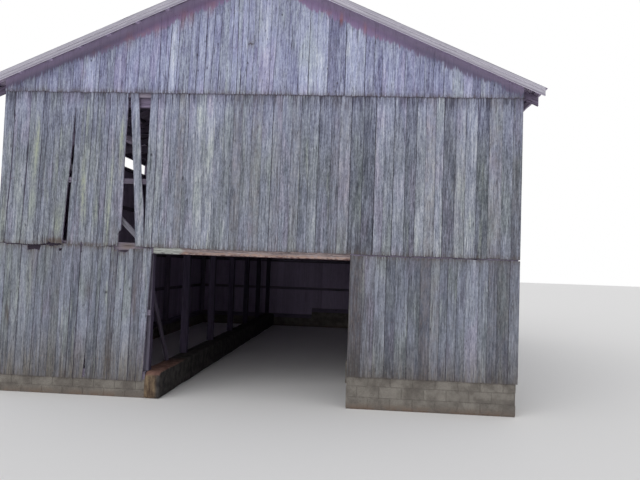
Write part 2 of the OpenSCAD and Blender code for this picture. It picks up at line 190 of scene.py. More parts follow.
# Nails
NAIL_R = 0.006
NAIL_H = 0.0025
NAIL_IN = 0.004
NAIL_SIDES = 5
NAIL_SHARES = (0.25, 0.75)
NAIL_STRAY = 0.015
NAIL_STRAY_SHARE = 0.06
ROOF_NAIL_STRAY = 0.01
NAIL_REACH = 0.12
NAIL_FROM_END = 0.045
NAIL_FROM_RIDGE = 0.3
NAIL_RUSTED = (1.0, 0.0, 1.0)


def corners(node):
    """The corners of a node at rest"""
    return np.array([v.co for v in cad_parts[node].data.vertices], float)


def edge_at(node, z, side):
    """Where a flat node's left (-1) or right (1) edge is at the height of one of its corners"""
    found = corners(node)
    level = found[np.abs(found[:, 2] - z) < NEAR]
    return side * (side * level[:, 0]).max()


# Planes and levels of the walls and the roof, read from the frame
front_low, front_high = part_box("siding_middle_left")
gable_low, gable_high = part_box("siding_gable_front")
lower_low, lower_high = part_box("siding_lower_left")
half_w = gable_high.x
half_l = -front_low.y
board_t = front_high.y - front_low.y
ridge_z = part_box("rafters_right")[1].z
gable_corners = corners("siding_gable_front")
corner_z = gable_corners[gable_corners[:, 0] > half_w - NEAR][:, 2].max()
slope = (gable_high.z - corner_z) / half_w
slope_angle = math.atan(slope)
lower_foot = lower_low.z
lower_head = lower_high.z
middle_foot = front_low.z
middle_head = front_high.z
gable_foot = gable_low.z
rake_low, rake_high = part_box("rake_boards_left")
eave_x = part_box("rafters_right")[1].x
sheet_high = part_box("roof_sheets_right")[1]
sheet_count = round(2 * sheet_high.y / SHEET_WIDTH)
sheet_cover = 2 * sheet_high.y / sheet_count
crest_rise = PURLIN_T + CRIMP_H + SHEET_T + COURSE_LIFT
slope_length = (sheet_high.x - crest_rise * math.sin(slope_angle)) / math.cos(slope_angle)


def roofline(x):
    """Height of the rafters' top over a place across the barn"""
    return ridge_z - slope * abs(x)


def along_line(points, at):
    """The value at a place between the points of a line, given as (place, value)"""
    return np.interp(at, *zip(*points))


class Plane:
    """A flat face with its own directions: across, along the grain and out of it"""

    def __init__(self, origin, across, along, stains=()):
        self.origin = np.array(origin, float)
        self.across = np.array(across, float)
        self.along = np.array(along, float)
        self.out = np.cross(self.across, self.along)
        self.stains = stains

    def at(self, s, t, d):
        """Points at s across, t along and d out of the plane, given as arrays or numbers"""
        s, t, d = np.broadcast_arrays(s, t, d)
        return (self.origin + s[..., None] * self.across
                + t[..., None] * self.along + d[..., None] * self.out)


# Stains, each as place across, height, reach across, reach up and strength. The pale kind is lichen on boards
# and bleached wood on timber

PALE = 0
BROWN = 1
DARK = 2


def stained(pale=(), brown=(), dark=()):
    """The stains of a wall with their kinds"""
    return [(*one[:4], kind, one[4]) for kind, group in enumerate((pale, brown, dark)) for one in group]


FRONT_STAINS_AND_SHADE = stained(
    pale=((-4.20, 4.70, 0.050, 0.50, 1.0), (-4.24, 3.60, 0.060, 0.60, 0.35), (-4.80, 3.30, 0.070, 0.70, 0.5),
          (-3.72, 3.20, 0.090, 0.35, 0.7), (-3.25, 3.95, 0.050, 0.60, 0.9), (-3.20, 3.40, 0.040, 0.30, 0.5),
          (-2.97, 3.45, 0.035, 0.30, 0.6), (-2.74, 3.30, 0.040, 0.50, 0.8), (-2.71, 4.20, 0.030, 0.45, 0.6),
          (-2.54, 4.75, 0.040, 0.45, 1.0), (-2.12, 3.60, 0.040, 0.40, 0.4), (-1.75, 4.90, 0.030, 0.50, 0.3),
          (-4.45, 1.90, 0.150, 0.80, 0.25), (-4.20, 2.10, 0.080, 0.60, 0.4), (-2.45, 2.40, 0.040, 0.40, 0.3)),
    brown=((-4.60, 1.46, 0.050, 0.20, 0.9), (-4.13, 2.58, 0.060, 0.20, 0.7), (-3.72, 2.86, 0.230, 0.07, 1.3),
           (-3.05, 2.81, 0.450, 0.04, 0.6), (-2.60, 0.75, 0.080, 0.32, 0.8), (-2.15, 1.90, 0.035, 0.40, 0.8),
           (-2.15, 0.42, 0.040, 0.16, 0.9), (-3.42, 0.38, 0.030, 0.10, 1.0), (-2.49, 2.95, 0.030, 0.12, 1.6),
           (-2.62, 3.05, 0.060, 0.20, 0.7), (-1.75, 2.82, 0.250, 0.05, 0.5), (-3.04, 1.95, 0.060, 0.16, 0.6),
           # The brown and dark stains at 1.95 and 2.10 across, right of the doorway, are painted leaf shade
           (1.95, 1.40, 0.450, 1.40, 0.40)),
    dark=((2.10, 1.40, 0.450, 1.60, 0.70), (-2.29, 0.83, 0.050, 0.30, -0.9), (-2.45, 5.30, 0.060, 0.40, 0.3),
          (-3.05, 5.20, 0.400, 0.45, 0.4), (-3.74, 2.79, 0.170, 0.06, 1.1), (-1.96, 4.40, 0.022, 0.12, 0.7),
          (-1.96, 4.54, 0.022, 0.03, 1.5), (-2.70, 1.93, 0.030, 0.03, 1.5), (-2.63, 1.93, 0.015, 0.12, 0.8)))
GABLE_STAINS = stained(
    brown=((-2.49, 6.80, 0.060, 0.09, 1.0), (-1.96, 6.93, 0.060, 0.08, 0.9), (-1.46, 7.22, 0.070, 0.09, 1.0),
           (-1.30, 7.20, 0.050, 0.08, 0.8), (-0.95, 7.42, 0.090, 0.06, 0.7), (-3.35, 6.02, 0.040, 0.12, 0.4),
           (1.535, 7.19, 0.030, 0.13, 1.3), (1.975, 7.00, 0.030, 0.12, 1.3)),
    dark=((-1.60, 6.20, 0.035, 0.60, -0.9), (-2.57, 5.89, 0.050, 0.08, 1.0), (-2.20, 5.75, 0.100, 0.05, 0.9),
          (-1.52, 5.76, 0.070, 0.06, 0.9), (-1.15, 6.45, 0.022, 0.04, 1.4), (-0.99, 6.80, 0.022, 0.04, 1.4),
          (-0.72, 6.85, 0.022, 0.04, 1.3), (-0.96, 6.20, 0.022, 0.04, 1.4), (-1.13, 6.15, 0.022, 0.03, 1.2),
          (-1.90, 5.85, 0.150, 0.10, 0.4)))
# The dark stains on the front girts, behind the joint between the tiers and behind the gap at 4 m, are
# painted shade in those recesses; the pale and brown ones are bleached and stained wood
GIRT_STAINS_AND_SHADE = stained(
    pale=((-2.25, 5.69, 0.700, 0.060, 1.6), (-2.34, 2.84, 0.190, 0.020, 0.7)),
    brown=((-2.34, 2.80, 0.190, 0.080, 1.3), (-3.72, 2.82, 0.200, 0.030, 0.8)),
    dark=((-2.40, 2.71, 0.100, 0.022, 2.0), (-4.30, 2.76, 0.650, 0.090, 1.1), (-4.15, 2.70, 0.200, 0.060, 2),
          (-3.76, 2.80, 0.250, 0.080, 1.6), (-2.25, 4.03, 0.500, 0.080, 1.05), (-3.64, 2.69, 0.050, 0.030, 2),
          (-3.23, 2.76, 0.050, 0.080, 1.2), (-2.66, 2.78, 0.120, 0.050, 1.2), (-1.95, 2.78, 0.13, 0.04, 0.8)))
# The plank that props the door post stands in the dark; its dark stain is painted shade
BRACE_SHADE_STAINS = stained(dark=((-1.92, 1.30, 0.120, 1.200, 1.0),))
# Kind, number and reaches of the stains on a wall that the photograph doesn't show
SCATTERED = ((PALE, 26, 0.06, 0.7), (BROWN, 12, 0.07, 0.3), (DARK, 16, 0.08, 0.5))


def scattered_stains(seed, reach, foot, head):
    """Stains scattered over a wall that the photograph doesn't show"""
    rng = random.Random(SEED + seed)
    found = []
    for kind, count, width, height in SCATTERED:
        for _ in range(count):
            found.append((rng.uniform(-reach, reach), rng.uniform(foot, head), width * rng.uniform(0.5, 1.3),
                          height * rng.uniform(0.4, 1.2), kind, rng.uniform(0.4, 1.0)))
    return found


def stains_at(stains, s, z):
    """Strength of each kind of stain at places on a wall"""
    total = np.zeros((*np.shape(s), 3))
    for across, height, reach_s, reach_z, kind, strength in stains:
        total[..., kind] += strength * np.exp(-((s - across) / reach_s) ** 2 - ((z - height) / reach_z) ** 2)
    return total


UP = (0, 0, 1)
front_wall = Plane((0, -half_l, 0), (1, 0, 0), UP, FRONT_STAINS_AND_SHADE)
front_gable = Plane((0, gable_low.y, 0), (1, 0, 0), UP, GABLE_STAINS)
back_wall = Plane((0, half_l, 0), (-1, 0, 0), UP, scattered_stains(20, half_w, 0, gable_foot))
back_gable = Plane((0, -gable_low.y, 0), (-1, 0, 0), UP, scattered_stains(21, half_w, gable_foot, ridge_z))
left_wall = Plane((-half_w, 0, 0), (0, -1, 0), UP, scattered_stains(22, half_l, 0, gable_foot))
right_wall = Plane((half_w, 0, 0), (0, 1, 0), UP, scattered_stains(23, half_l, 0, gable_foot))


class Piece:
    """Closed shapes in one mesh. Each point has a grain, tone, wear and stain, which the materials read"""

    def __init__(self, name):
        self.name = name
        self.points = []
        self.faces = []
        self.layers = {"grain": [], "tone": [], "wear": [], "stain": []}
        self.count = 0

    def add(self, points, faces, grain, tone=(0.5, 0.5, 0.5), wear=(0.0, 0.0, 0.0), stain=(0.0, 0.0, 0.0)):
        """Adds a shape with the values of its points, or one value for all of them"""
        points = np.asarray(points, float).reshape(-1, 3)
        self.points.append(points)
        self.faces.extend([[k + self.count for k in face] for face in faces])
        for name, values in zip(self.layers, (grain, tone, wear, stain)):
            values = np.asarray(values, float).reshape(-1, 3)
            self.layers[name].append(np.broadcast_to(values, points.shape))
        self.count += len(points)

    def build(self, material, slot, *nodes, smooth=None):
        """Makes the object, which stands for the given nodes"""
        mesh = bpy.data.meshes.new(self.name)
        points = np.concatenate(self.points)
        points[:, 2] = np.maximum(points[:, 2], 0.0)
        mesh.from_pydata(points.tolist(), [], self.faces)
        for name, values in self.layers.items():
            layer = mesh.attributes.new(name, "FLOAT_VECTOR", "POINT")
            layer.data.foreach_set("vector", np.concatenate(values).astype(np.float32).ravel())
        if smooth is not None:
            mesh.shade_smooth()
            mesh.set_sharp_from_angle(angle=math.radians(smooth))
        mesh.materials.append(material)
        made = bpy.data.objects.new(self.name, mesh)
        bpy.context.scene.collection.objects.link(made)
        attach(made, BODY)
        if nodes:
            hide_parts(*nodes)


def slab_faces(keep, rows, columns):
    """Faces of a slab between two grids of points. keep says which cells of the grid are there"""
    size = rows * columns
    faces = []
    for i, j in np.argwhere(keep):
        a = i * columns + j
        b, c, d = a + 1, a + columns + 1, a + columns
        faces += [[a, b, c, d], [a + size, d + size, c + size, b + size]]
        sides = ((a, b, i - 1, j), (b, c, i, j + 1), (c, d, i + 1, j), (d, a, i, j - 1))
        for p, q, row, column in sides:
            inside = 0 <= row < rows - 1 and 0 <= column < columns - 1
            if not (inside and keep[row, column]):
                faces.append([q, p, p + size, q + size])
    return faces


def add_slab(piece, front, back, keep, grain, tone, wear_front, wear_back, stain):
    """A closed slab between two grids of points, with the values of its points"""
    faces = np.array(slab_faces(keep, *front.shape[:2]))
    chosen = np.unique(faces)
    doubled = [(front, back), (grain, grain), (wear_front, wear_back), (stain, stain)]
    rows = [np.concatenate([a.reshape(-1, 3), b.reshape(-1, 3)])[chosen] for a, b in doubled]
    points, grain, wear, stain = rows
    piece.add(points, np.searchsorted(chosen, faces).tolist(), grain, tone, wear, stain)


# Boards

def joint(foot_x, head_x, gap=THIN, tone=None, hue=None, **board):
    """A joint between two boards: its place at foot and head, its gap or a line of (height, gap), and the
    tone, the hue and what else is special about the board on its right"""
    board = {"tone": tone, "hue": hue, **board}
    return {"foot": foot_x, "head": head_x, "line": (), "gap": gap, "board": board}


def bent_joint(line, *given, **board):
    """A joint that follows a line of (height, place)"""
    return {**joint(0, 0, *given, **board), "line": line}


def joint_marks(one):
    """Heights at which a joint bends or its gap changes"""
    return [p[0] for p in (*one["line"], *(one["gap"] if isinstance(one["gap"], tuple) else ()))]


def joint_place(one, z, foot, head):
    """Where a joint is at a height"""
    if one["line"]:
        return along_line(one["line"], z)
    return one["foot"] + (one["head"] - one["foot"]) * (z - foot) / (head - foot)


def joint_half(one, z):
    """Half a joint's gap at a height"""
    if isinstance(one["gap"], tuple):
        return along_line(one["gap"], z) / 2
    return np.full(np.shape(z), one["gap"] / 2)


def board_edge(one, side, foot, head, painted):
    """The edge of the board left (-1) or right (1) of a joint, as a function of height. Where the boards were
    painted under the roof, their joints have stayed shut"""
    def place(z):
        s = joint_place(one, z, foot, head)
        opened = np.clip((roofline(s) - z) / PAINT_REACH - PAINT_SHUT, 0.0, 1.0) if painted else 1.0
        return s + side * joint_half(one, z) * opened
    return place


def board_end(own, line, level):
    """The height of a board's foot or head at places across: its own, its tier's line or its tier's level"""
    if isinstance(own, tuple):
        return lambda s: along_line(own, s)
    if own is None and line is not None:
        return line
    return lambda s: np.full(np.shape(s), level if own is None else own)


def random_joints(rng, start, end, gaps=MIXED_GAPS, ends=True):
    """Joints of boards of mixed widths from one place to another"""
    found = [start]
    while end - found[-1] > LAST_WIDTH:
        found.append(found[-1] + rng.uniform(*BOARD_WIDTHS))
    joints = []
    for x in found[1:]:
        lean = rng.uniform(-BOARD_LEAN, BOARD_LEAN)
        joints.append(joint(x + lean, x - lean, rng.choice(gaps)))
    if not ends:
        return joints
    return [joint(start, start, 0.0), *joints, joint(end, end, 0.0)]


def smooth_walk(rng, count, amount):
    """A soft random line of values"""
    steps = np.array([rng.uniform(-1, 1) for _ in range(count)])
    return amount * np.convolve(np.pad(steps, 1, mode="edge"), (0.25, 0.5, 0.25), mode="valid")


def random_shift(rng):
    """A random place in the grain's noise"""
    return np.array([rng.uniform(0, 30) for _ in range(3)])


def board_rows(foot, head, marks):
    """Heights of a board's grid as shares of its length"""
    length = head - foot
    count = max(2, round(length / ROW_STEP))
    soft = BOARD_BEVEL / length
    shares = {0.0, soft, 1 - soft, 1.0}
    shares.update((i + 1) / (count + 1) for i in range(count))
    shares.update(reach / length for reach in END_ROWS)
    shares.update(1 - reach / length for reach in END_ROWS)
    shares.update((z - foot) / length for z in marks if foot + MARK_CLEAR < z < head - MARK_CLEAR)
    ordered = sorted(shares)
    kept = [a for a, b in zip(ordered, ordered[1:]) if b - a > LEAST_ROW / length or a == 0.0]
    return np.array([*kept, 1.0])


def board_columns(start, width, holes, stains, places):
    """Places across a board's grid as shares of its width"""
    edge = BOARD_BEVEL / width
    found = {0.0, edge, 1 - edge, 1.0, *BOARD_COLUMNS}
    found.update((s - start) / width for h in holes for s in h[:2])
    extra = [one[0] + k * one[2] for one in stains for k in STAIN_COLUMNS]
    for share in [(s - start) / width for s in (*extra, *places)]:
        if 0 < share < 1 and min(abs(share - other) for other in found) > LEAST_COLUMN:
            found.add(share)
    return np.array(sorted(found))


def small_stains(wall, middle, reach, foot, head):
    """Stains of a wall on one board that are too small for its usual rows"""
    return [one for one in wall.stains
            if abs(one[0] - middle) < reach + one[2] and one[3] < SMALL_STAIN and foot < one[1] < head]


def board_relief(t, u, rng):
    """How far a board's face stands out at the points of its grid"""
    cup = rng.uniform(-0.4, 1.0) * BOARD_CUP * ((2 * u - 1) ** 2 - 0.4)
    twist = rng.uniform(-1, 1) * BOARD_TWIST * (u - 0.5) * (t - 0.5)
    bow = smooth_walk(rng, len(t), BOARD_BOW)[:, None]
    soft_u = np.where((u == 0) | (u == 1), -BOARD_SOFTEN, 0.0)
    soft_t = np.where((t == 0) | (t == 1), -BOARD_SOFTEN, 0.0)
    return rng.uniform(-0.5, 1.0) * BOARD_STAND + cup + twist + bow + soft_u + soft_t


def cells_between(lines, low, high):
    """Which cells of a row of lines lie between two shares"""
    return (lines[:-1] >= low - TINY) & (lines[1:] <= high + TINY)


def add_board(piece, wall, left, right, foot, head, rng, level, marks=(), holes=(), places=(), tone=None,
              hue=None, rag=None, rag_head=None, nails=None):
    """One board. left and right give its edges at a height, foot and head its ends at a place"""
    rag = TIER_RAG[level][0] if rag is None else rag
    rag_head = TIER_RAG[level][1] if rag_head is None else rag_head
    low = float(foot(left(0.0)))
    high = float(head(left(0.0)))
    start = float(left((low + high) / 2))
    width = float(right((low + high) / 2) - left((low + high) / 2))
    small = small_stains(wall, start + width / 2, width / 2, low, high)
    stain_marks = [one[1] + k * one[3] for one in small for k in STAIN_ROWS]
    rows = board_rows(low, high, [*marks, *[z for h in holes for z in h[2:]], *stain_marks])
    u = board_columns(start, width, holes, small, places)
    t = rows[:, None]
    keep = np.ones((len(rows) - 1, len(u) - 1), bool)
    for x0, x1, z0, z1 in holes:
        cut = cells_between(rows, (z0 - low) / (high - low), (z1 - low) / (high - low))
        keep[np.ix_(cut, cells_between(u, (x0 - start) / width, (x1 - start) / width))] = False
    foot_s = left(low) + u * (right(low) - left(low))
    head_s = left(high) + u * (right(high) - left(high))
    foot_z = foot(foot_s) + rng.uniform(-rag, rag) / 2 + np.array([rng.uniform(-rag, rag) / 2 for _ in u])
    head_z = head(head_s) - np.array([rng.uniform(0, 2 * rag_head) for _ in u])
    z = foot_z + (head_z - foot_z) * t
    wander = [smooth_walk(rng, len(t), BOARD_WANDER)[:, None] for _ in range(2)]
    s = left(z) + u * (right(z) - left(z)) + (wander[0] * (1 - u) + wander[1] * u)
    d = board_relief(t, u, rng)
    grain = np.stack([s, z, np.zeros_like(s)], -1) + random_shift(rng)
    tones = (rng.random() if tone is None else tone, rng.random() if hue is None else hue, level)
    from_edge = np.minimum(u, 1 - u) * width
    edges = np.where(from_edge < TINY, 1.0, EDGE_WORN * np.clip(1 - from_edge / EDGE_REACH, 0, 1))
    ends = np.exp(-np.minimum(z - foot_z, head_z - z) / END_REACH)
    wear = [np.stack(np.broadcast_arrays(edges, inside, ends), -1) for inside in (0.0, 1.0)]
    add_slab(piece, wall.at(s, z, d), wall.at(s, z, -board_t), keep, grain, tones, *wear,
             stains_at(wall.stains, s, z))
    for height in nails["heights"] if nails else ():
        if low - NAIL_REACH < height < high + NAIL_REACH:
            height = min(max(height, low + NAIL_FROM_END), high - NAIL_FROM_END)
            nail_board(nails["piece"], wall, left, width, height, rng, u,
                       lambda z, column: np.interp((z - low) / (high - low), rows, d[:, column]))


def nail_board(nails, wall, left, width, height, rng, columns, relief):
    """Two nails through a board into a girt"""
    for share in NAIL_SHARES:
        z = height + rng.uniform(-NAIL_STRAY, NAIL_STRAY)
        s = float(left(z)) + (share + rng.uniform(-NAIL_STRAY_SHARE, NAIL_STRAY_SHARE)) * width
        add_nail(nails, wall, s, z, float(relief(z, int(np.abs(columns - share).argmin()))), rng)


def add_boards(piece, wall, joints, foot, head, rng, level, foot_line=None, head_line=None, nails=None,
               painted=False):
    """The boards between each joint and the next, from foot to head or between two lines"""
    for one, other in zip(joints, joints[1:]):
        facts = dict(one["board"])
        ends = (facts.pop("foot", None), facts.pop("head", None))
        spliced = facts.pop("spliced", None)
        facts["places"] = [p[0] for own in ends if isinstance(own, tuple) for p in own]
        left = board_edge(one, 1, foot, head, painted)
        right = board_edge(other, -1, foot, head, painted)
        foot_at = board_end(ends[0], foot_line, foot)
        head_at = board_end(ends[1], head_line, head)
        if spliced:
            add_board(piece, wall, left, right, foot_at, board_end(spliced, None, 0), rng, level, nails=nails)
            foot_at = board_end(spliced + SPLICE_GAP, None, 0)
        marks = joint_marks(one) + joint_marks(other)
        add_board(piece, wall, left, right, foot_at, head_at, rng, level, marks, nails=nails, **facts)


# Joints of the boards of the front wall, as the photograph shows them

jamb_foot = edge_at("siding_lower_left", lower_foot, 1)
jamb_head = edge_at("siding_lower_left", lower_head, 1)
LOWER_LEFT = [
    joint(-half_w, -half_w, 0, 0.62, 0.4),
    joint(-4.715, -4.70, THIN, 0.40, 0.5),
    joint(-4.58, -4.552, PLAIN, 0.50, 0.5),
    joint(-4.41, -4.392, ((0.31, THIN), (1.2, PLAIN), (2.7, OPEN)), 0.68, 0.3,
          head=((-4.41, 2.777), (-4.28, 2.775), (-4.275, 2.685), (-4.23, 2.685))),
    joint(-4.235, -4.23, THIN, 0.52, 0.5, rag_head=0.012,
          head=((-4.24, 2.685), (-4.15, 2.70), (-4.06, 2.685))),
    joint(-4.105, -4.06, PLAIN, 0.50, 0.6,
          head=((-4.08, 2.685), (-4.03, 2.685), (-4.025, 2.775), (-3.9, 2.79))),
    joint(-3.93, -3.915, PLAIN, 0.45, 0.7, rag_head=0.012,
          head=((-3.92, 2.79), (-3.86, 2.80), (-3.855, 2.765), (-3.76, 2.775))),
    joint(-3.785, -3.765, THIN, 0.32, 0.75, head=((-3.77, 2.775), (-3.60, 2.80)),
          holes=[(-3.672, -3.607, 2.664, 2.712)]),
    joint(-3.62, -3.605, PLAIN, 0.62, 0.15, rag_head=0.003),
    joint(-3.515, -3.50, ((0.31, HAIR), (1.0, THIN), (2.1, THIN), (2.2, 0.0)), 0.64, 0.2, rag_head=0.003),
    joint(-3.41, -3.375, ((0.31, 0.006), (0.7, 0.006), (1.05, 0.010), (1.5, 0.014), (2.0, 0.009),
                          (2.5, THIN)), 0.30, 0.5, rag_head=0.003),
    joint(-3.262, -3.227, ((0.31, 0.010), (2.64, 0.010), (2.67, 0.030), (2.79, 0.026)), 0.60, 0.2,
          rag_head=0.003),
    joint(-3.06, -2.995, ((0.31, 0.050), (0.42, 0.044), (0.80, 0.009), (1.2, PLAIN), (2.0, THIN),
                          (2.6, HAIR)), 0.38, 0.35, rag_head=0.003),
    joint(-2.885, -2.89, ((0.31, 0.0), (0.9, THIN), (2.7, THIN)), 0.36, 0.35, rag_head=0.003),
    joint(-2.845, -2.812, 0.007, 0.57, 0.45, rag_head=0.003),
    joint(-2.675, -2.645, ((0.31, THIN), (2.0, PLAIN), (2.5, OPEN)), 0.24, 0.8,
          head=((-2.74, 2.745), (-2.645, 2.745), (-2.64, 2.80), (-2.6, 2.80), (-2.59, 2.74))),
    joint(-2.606, -2.58, ((0.31, 0.0), (0.9, THIN), (1.5, PLAIN), (2.2, THIN), (2.4, HAIR)), 0.26, 0.8,
          head=2.745, rag_head=0.006),
    joint(-2.565, -2.508, ((0.31, THIN), (0.7, THIN), (1.05, 0.006), (2.0, 0.008), (2.45, 0.015),
                           (2.7, 0.018)), 0.66, 0.3, rag_head=0.004,
          head=((-2.56, 2.68), (-2.53, 2.70), (-2.43, 2.70), (-2.41, 2.685))),
    joint(-2.41, -2.348, ((0.31, PLAIN), (2.0, 0.007), (2.7, THIN)), 0.74, 0.3,
          head=((-2.36, 2.70), (-2.315, 2.70), (-2.31, 2.765), (-2.19, 2.765))),
    joint(-2.218, -2.198, 0.009, 0.32, 0.75, head=2.77),
    joint(-2.07, -2.03, PLAIN, 0.54, 0.45),
    joint(jamb_foot, jamb_head, 0),
]

MIDDLE_LEFT = [
    joint(-half_w, -half_w, 0, 0.46, 0.5),
    bent_joint(((2.8, -4.747), (3.5, -4.718), (4.0, -4.694), (4.5, -4.682), (5.0, -4.676), (5.75, -4.684)),
               ((2.8, 0.008), (3.1, 0.010), (3.5, 0.017), (4.5, 0.016), (5.0, 0.009), (5.19, 0.010),
                (5.20, 0.034), (5.27, 0.034), (5.28, 0.009)), 0.60, 0.25),
    joint(-4.60, -4.615, ((2.8, 0.0), (3.7, HAIR), (4.0, THIN), (5.2, PLAIN), (5.4, HAIR)), 0.57, 0.3),
    bent_joint(((2.8, -4.435), (3.5, -4.406), (4.0, -4.388), (4.5, -4.376), (5.0, -4.370), (5.75, -4.352)),
               ((2.8, 0.006), (3.1, 0.008), (3.5, 0.014), (4.0, 0.020), (4.5, 0.017), (5.0, 0.010),
                (5.45, THIN)), 0.70, 0.45),
    joint(-4.32, -4.26, ((2.8, PLAIN), (3.2, THIN), (3.4, 0.0), (4.4, 0.0), (4.8, THIN)), 0.68, 0.4),
    bent_joint(((2.8, -4.17), (3.5, -4.148), (4.0, -4.130), (4.5, -4.112), (5.0, -4.110), (5.75, -4.098)),
               ((2.8, THIN), (3.5, PLAIN), (4.0, 0.011), (4.5, 0.012), (5.0, PLAIN), (5.45, 0.010)),
               0.30, 0.4),
    bent_joint(((2.8, -4.09), (3.5, -4.064), (4.25, -4.040), (5.0, -4.012), (5.75, -4.008)), 0.007,
               0.46, 0.3),
    joint(-3.985, -3.975, ((2.8, 0.013), (2.93, 0.010), (3.0, HAIR), (3.2, 0.0)), 0.44, 0.35,
          foot=((-3.98, 2.81), (-3.87, 2.82)), rag=0.02),
    joint(-3.885, -3.855, PLAIN, 0.44, 0.55, foot=((-3.88, 2.84), (-3.80, 2.81), (-3.76, 2.83)), rag=0.02),
    joint(-3.775, -3.745, PLAIN, 0.48, 0.5, foot=((-3.77, 2.83), (-3.68, 2.82), (-3.60, 2.805)), rag=0.02),
    bent_joint(((2.80, -3.610), (3.76, -3.566), (4.47, -3.522), (4.79, -3.507), (5.17, -3.492),
                (5.46, -3.481), (5.75, -3.474)), 0),
]

MIDDLE_CENTRE = [
    bent_joint(((2.80, -3.520), (3.76, -3.499), (4.47, -3.464), (4.79, -3.460), (5.17, -3.463),
                (5.46, -3.477), (5.75, -3.473)), 0, 0.42, 0.35, rag=0.003),
    joint(-3.395, -3.32, ((2.8, THIN), (3.5, PLAIN), (4.0, 0.008), (4.5, THIN), (4.7, 0.0)), 0.52, 0.4,
          rag=0.003),
    joint(-3.305, -3.245, ((2.8, THIN), (4.2, THIN), (4.5, PLAIN), (5.6, PLAIN)), 0.62, 0.5, rag=0.003,
          foot=((-3.31, 2.796), (-3.25, 2.795), (-3.245, 2.85), (-3.215, 2.85), (-3.21, 2.79),
                (-3.16, 2.788))),
    joint(-3.168, -3.125, PLAIN, 0.60, 0.35, rag=0.003),
    joint(-3.045, -3.04, ((2.8, 0.0), (3.8, 0.0), (4.1, THIN), (5.0, PLAIN), (5.6, 0.006)), 0.66, 0.4,
          rag=0.003),
    joint(-3.00, -2.95, ((2.8, 0.0), (3.7, 0.0), (4.0, THIN), (4.5, PLAIN)), 0.58, 0.45, rag=0.003),
    joint(-2.93, -2.90, ((2.8, PLAIN), (3.5, 0.011), (3.9, THIN), (4.1, 0.0)), 0.58, 0.5, rag=0.003),
    joint(-2.82, -2.80, 0.009, 0.74, 0.35, foot=((-2.82, 2.79), (-2.74, 2.80), (-2.71, 2.80))),
    joint(-2.705, -2.655, ((2.8, OPEN), (3.2, PLAIN), (3.8, THIN), (4.4, PLAIN)), 0.66, 0.65, rag=0.008,
          foot=((-2.70, 2.80), (-2.61, 2.80), (-2.60, 2.825), (-2.56, 2.825), (-2.55, 2.80))),
    bent_joint(((2.80, -2.522), (3.07, -2.520), (3.10, -2.476), (4.50, -2.472), (5.75, -2.446)), 0),
]

LOOSE_BOARD = [
    bent_joint(((2.80, -2.186), (3.36, -2.222), (4.10, -2.278), (4.50, -2.315), (5.75, -2.420)), 0,
               0.62, 0.45),
    bent_joint(((2.80, -2.022), (3.58, -2.066), (4.10, -2.130), (4.50, -2.158), (5.75, -2.262)), 0),
]

MIDDLE_RIGHT_START = [
    bent_joint(((2.80, -2.019), (3.60, -2.022), (4.20, -2.031), (4.63, -2.026), (5.75, -2.014)), 0,
               0.65, 0.5),
    joint(-1.875, -1.866, OPEN, 0.58, 0.4),
    joint(-1.745, -1.735, THIN, 0.6, 0.3),
    joint(-1.61, -1.605, PLAIN, 0.62, 0.3),
    joint(-1.485, -1.455, THIN, 0.65),
    joint(-1.35, -1.34, PLAIN, 0.5),
    joint(-1.28, -1.274, ((2.8, THIN), (5.0, PLAIN), (5.4, 0.012)), 0.6),
    joint(-1.125, -1.12),
    joint(-0.95, -0.94),
    joint(-0.77, -0.765),
    joint(-0.60, -0.59, HAIR),
    joint(-0.42, -0.415, PLAIN),
    joint(-0.25, -0.245),
    joint(-0.07, -0.06),
    joint(0.12, 0.13, HAIR),
    joint(0.32, 0.33, OPEN),
    joint(0.50, 0.50),
    joint(0.68, 0.685),
    joint(0.85, 0.86, PLAIN),
    joint(1.02, 1.02),
]

GABLE_START = [
    joint(-half_w, -half_w, 0),
    joint(-4.73, -4.72),
    joint(-4.51, -4.50, THIN, 0.35),
    joint(-4.28, -4.28, PLAIN, 0.4),
    joint(-4.06, -4.05, THIN, 0.42),
    joint(-3.84, -3.83, PLAIN, 0.35),
    joint(-3.56, -3.50, PLAIN, 0.36),
    joint(-3.358, -3.33, ((5.71, 0.012), (6.1, PLAIN), (6.6, THIN)), 0.78, 0.2),
    joint(-3.115, -3.10, HAIR, 0.22, 0.1),
    joint(-3.037, -3.02, PLAIN, 0.20, 0.2),
    joint(-2.876, -2.89, THIN, 0.26),
    joint(-2.755, -2.72, PLAIN, 0.58),
    joint(-2.525, -2.475, PLAIN, 0.5),
    joint(-2.285, -2.225, PLAIN, 0.5),
    joint(-2.07, -2.05, THIN, 0.48, 0.6),
    joint(-1.866, -1.872, PLAIN, 0.40, 0.3),
    joint(-1.752, -1.757, PLAIN, 0.35, 0.3),
    joint(-1.705, -1.610, 0.010, 0.95, 0.2),
    joint(-1.552, -1.450, ((5.71, 0.012), (6.2, PLAIN), (7.2, PLAIN)), 0.5, 0.7),
    joint(-1.50, -1.382, PLAIN, 0.42, 0.6),
    joint(-1.315, -1.243, PLAIN, 0.44, 0.4),
    joint(-1.163, -1.115, 0.006, 0.60),
    joint(-1.006, -0.970, OPEN, 0.60),
    joint(-0.885, -0.81, ((5.71, THIN), (6.2, PLAIN), (6.8, OPEN)), 0.40),
    joint(-0.74, -0.68, 0.007, 0.60),
    joint(-0.60, -0.545, HAIR, 0.62, 0.2),
    joint(-0.50, -0.475, ((5.71, 0.0), (6.2, THIN), (6.45, PLAIN)), 0.64, 0.2),
    joint(-0.383, -0.402, 0.008, 0.72),
    joint(-0.318, -0.305, ((5.71, 0.018), (5.95, 0.016), (6.15, 0.007), (6.3, 0.0)), 0.66),
    joint(-0.207, -0.200, PLAIN, 0.56, 0.9, spliced=6.66),
    joint(-0.10, -0.058, PLAIN, 0.5),
    joint(-0.01, 0.0, PLAIN, 0.85),
    joint(0.23, 0.23, ((5.71, 0.008), (6.2, PLAIN), (6.5, HAIR)), 0.75),
    joint(0.29, 0.40, PLAIN, 0.5),
    joint(0.55, 0.58),
]

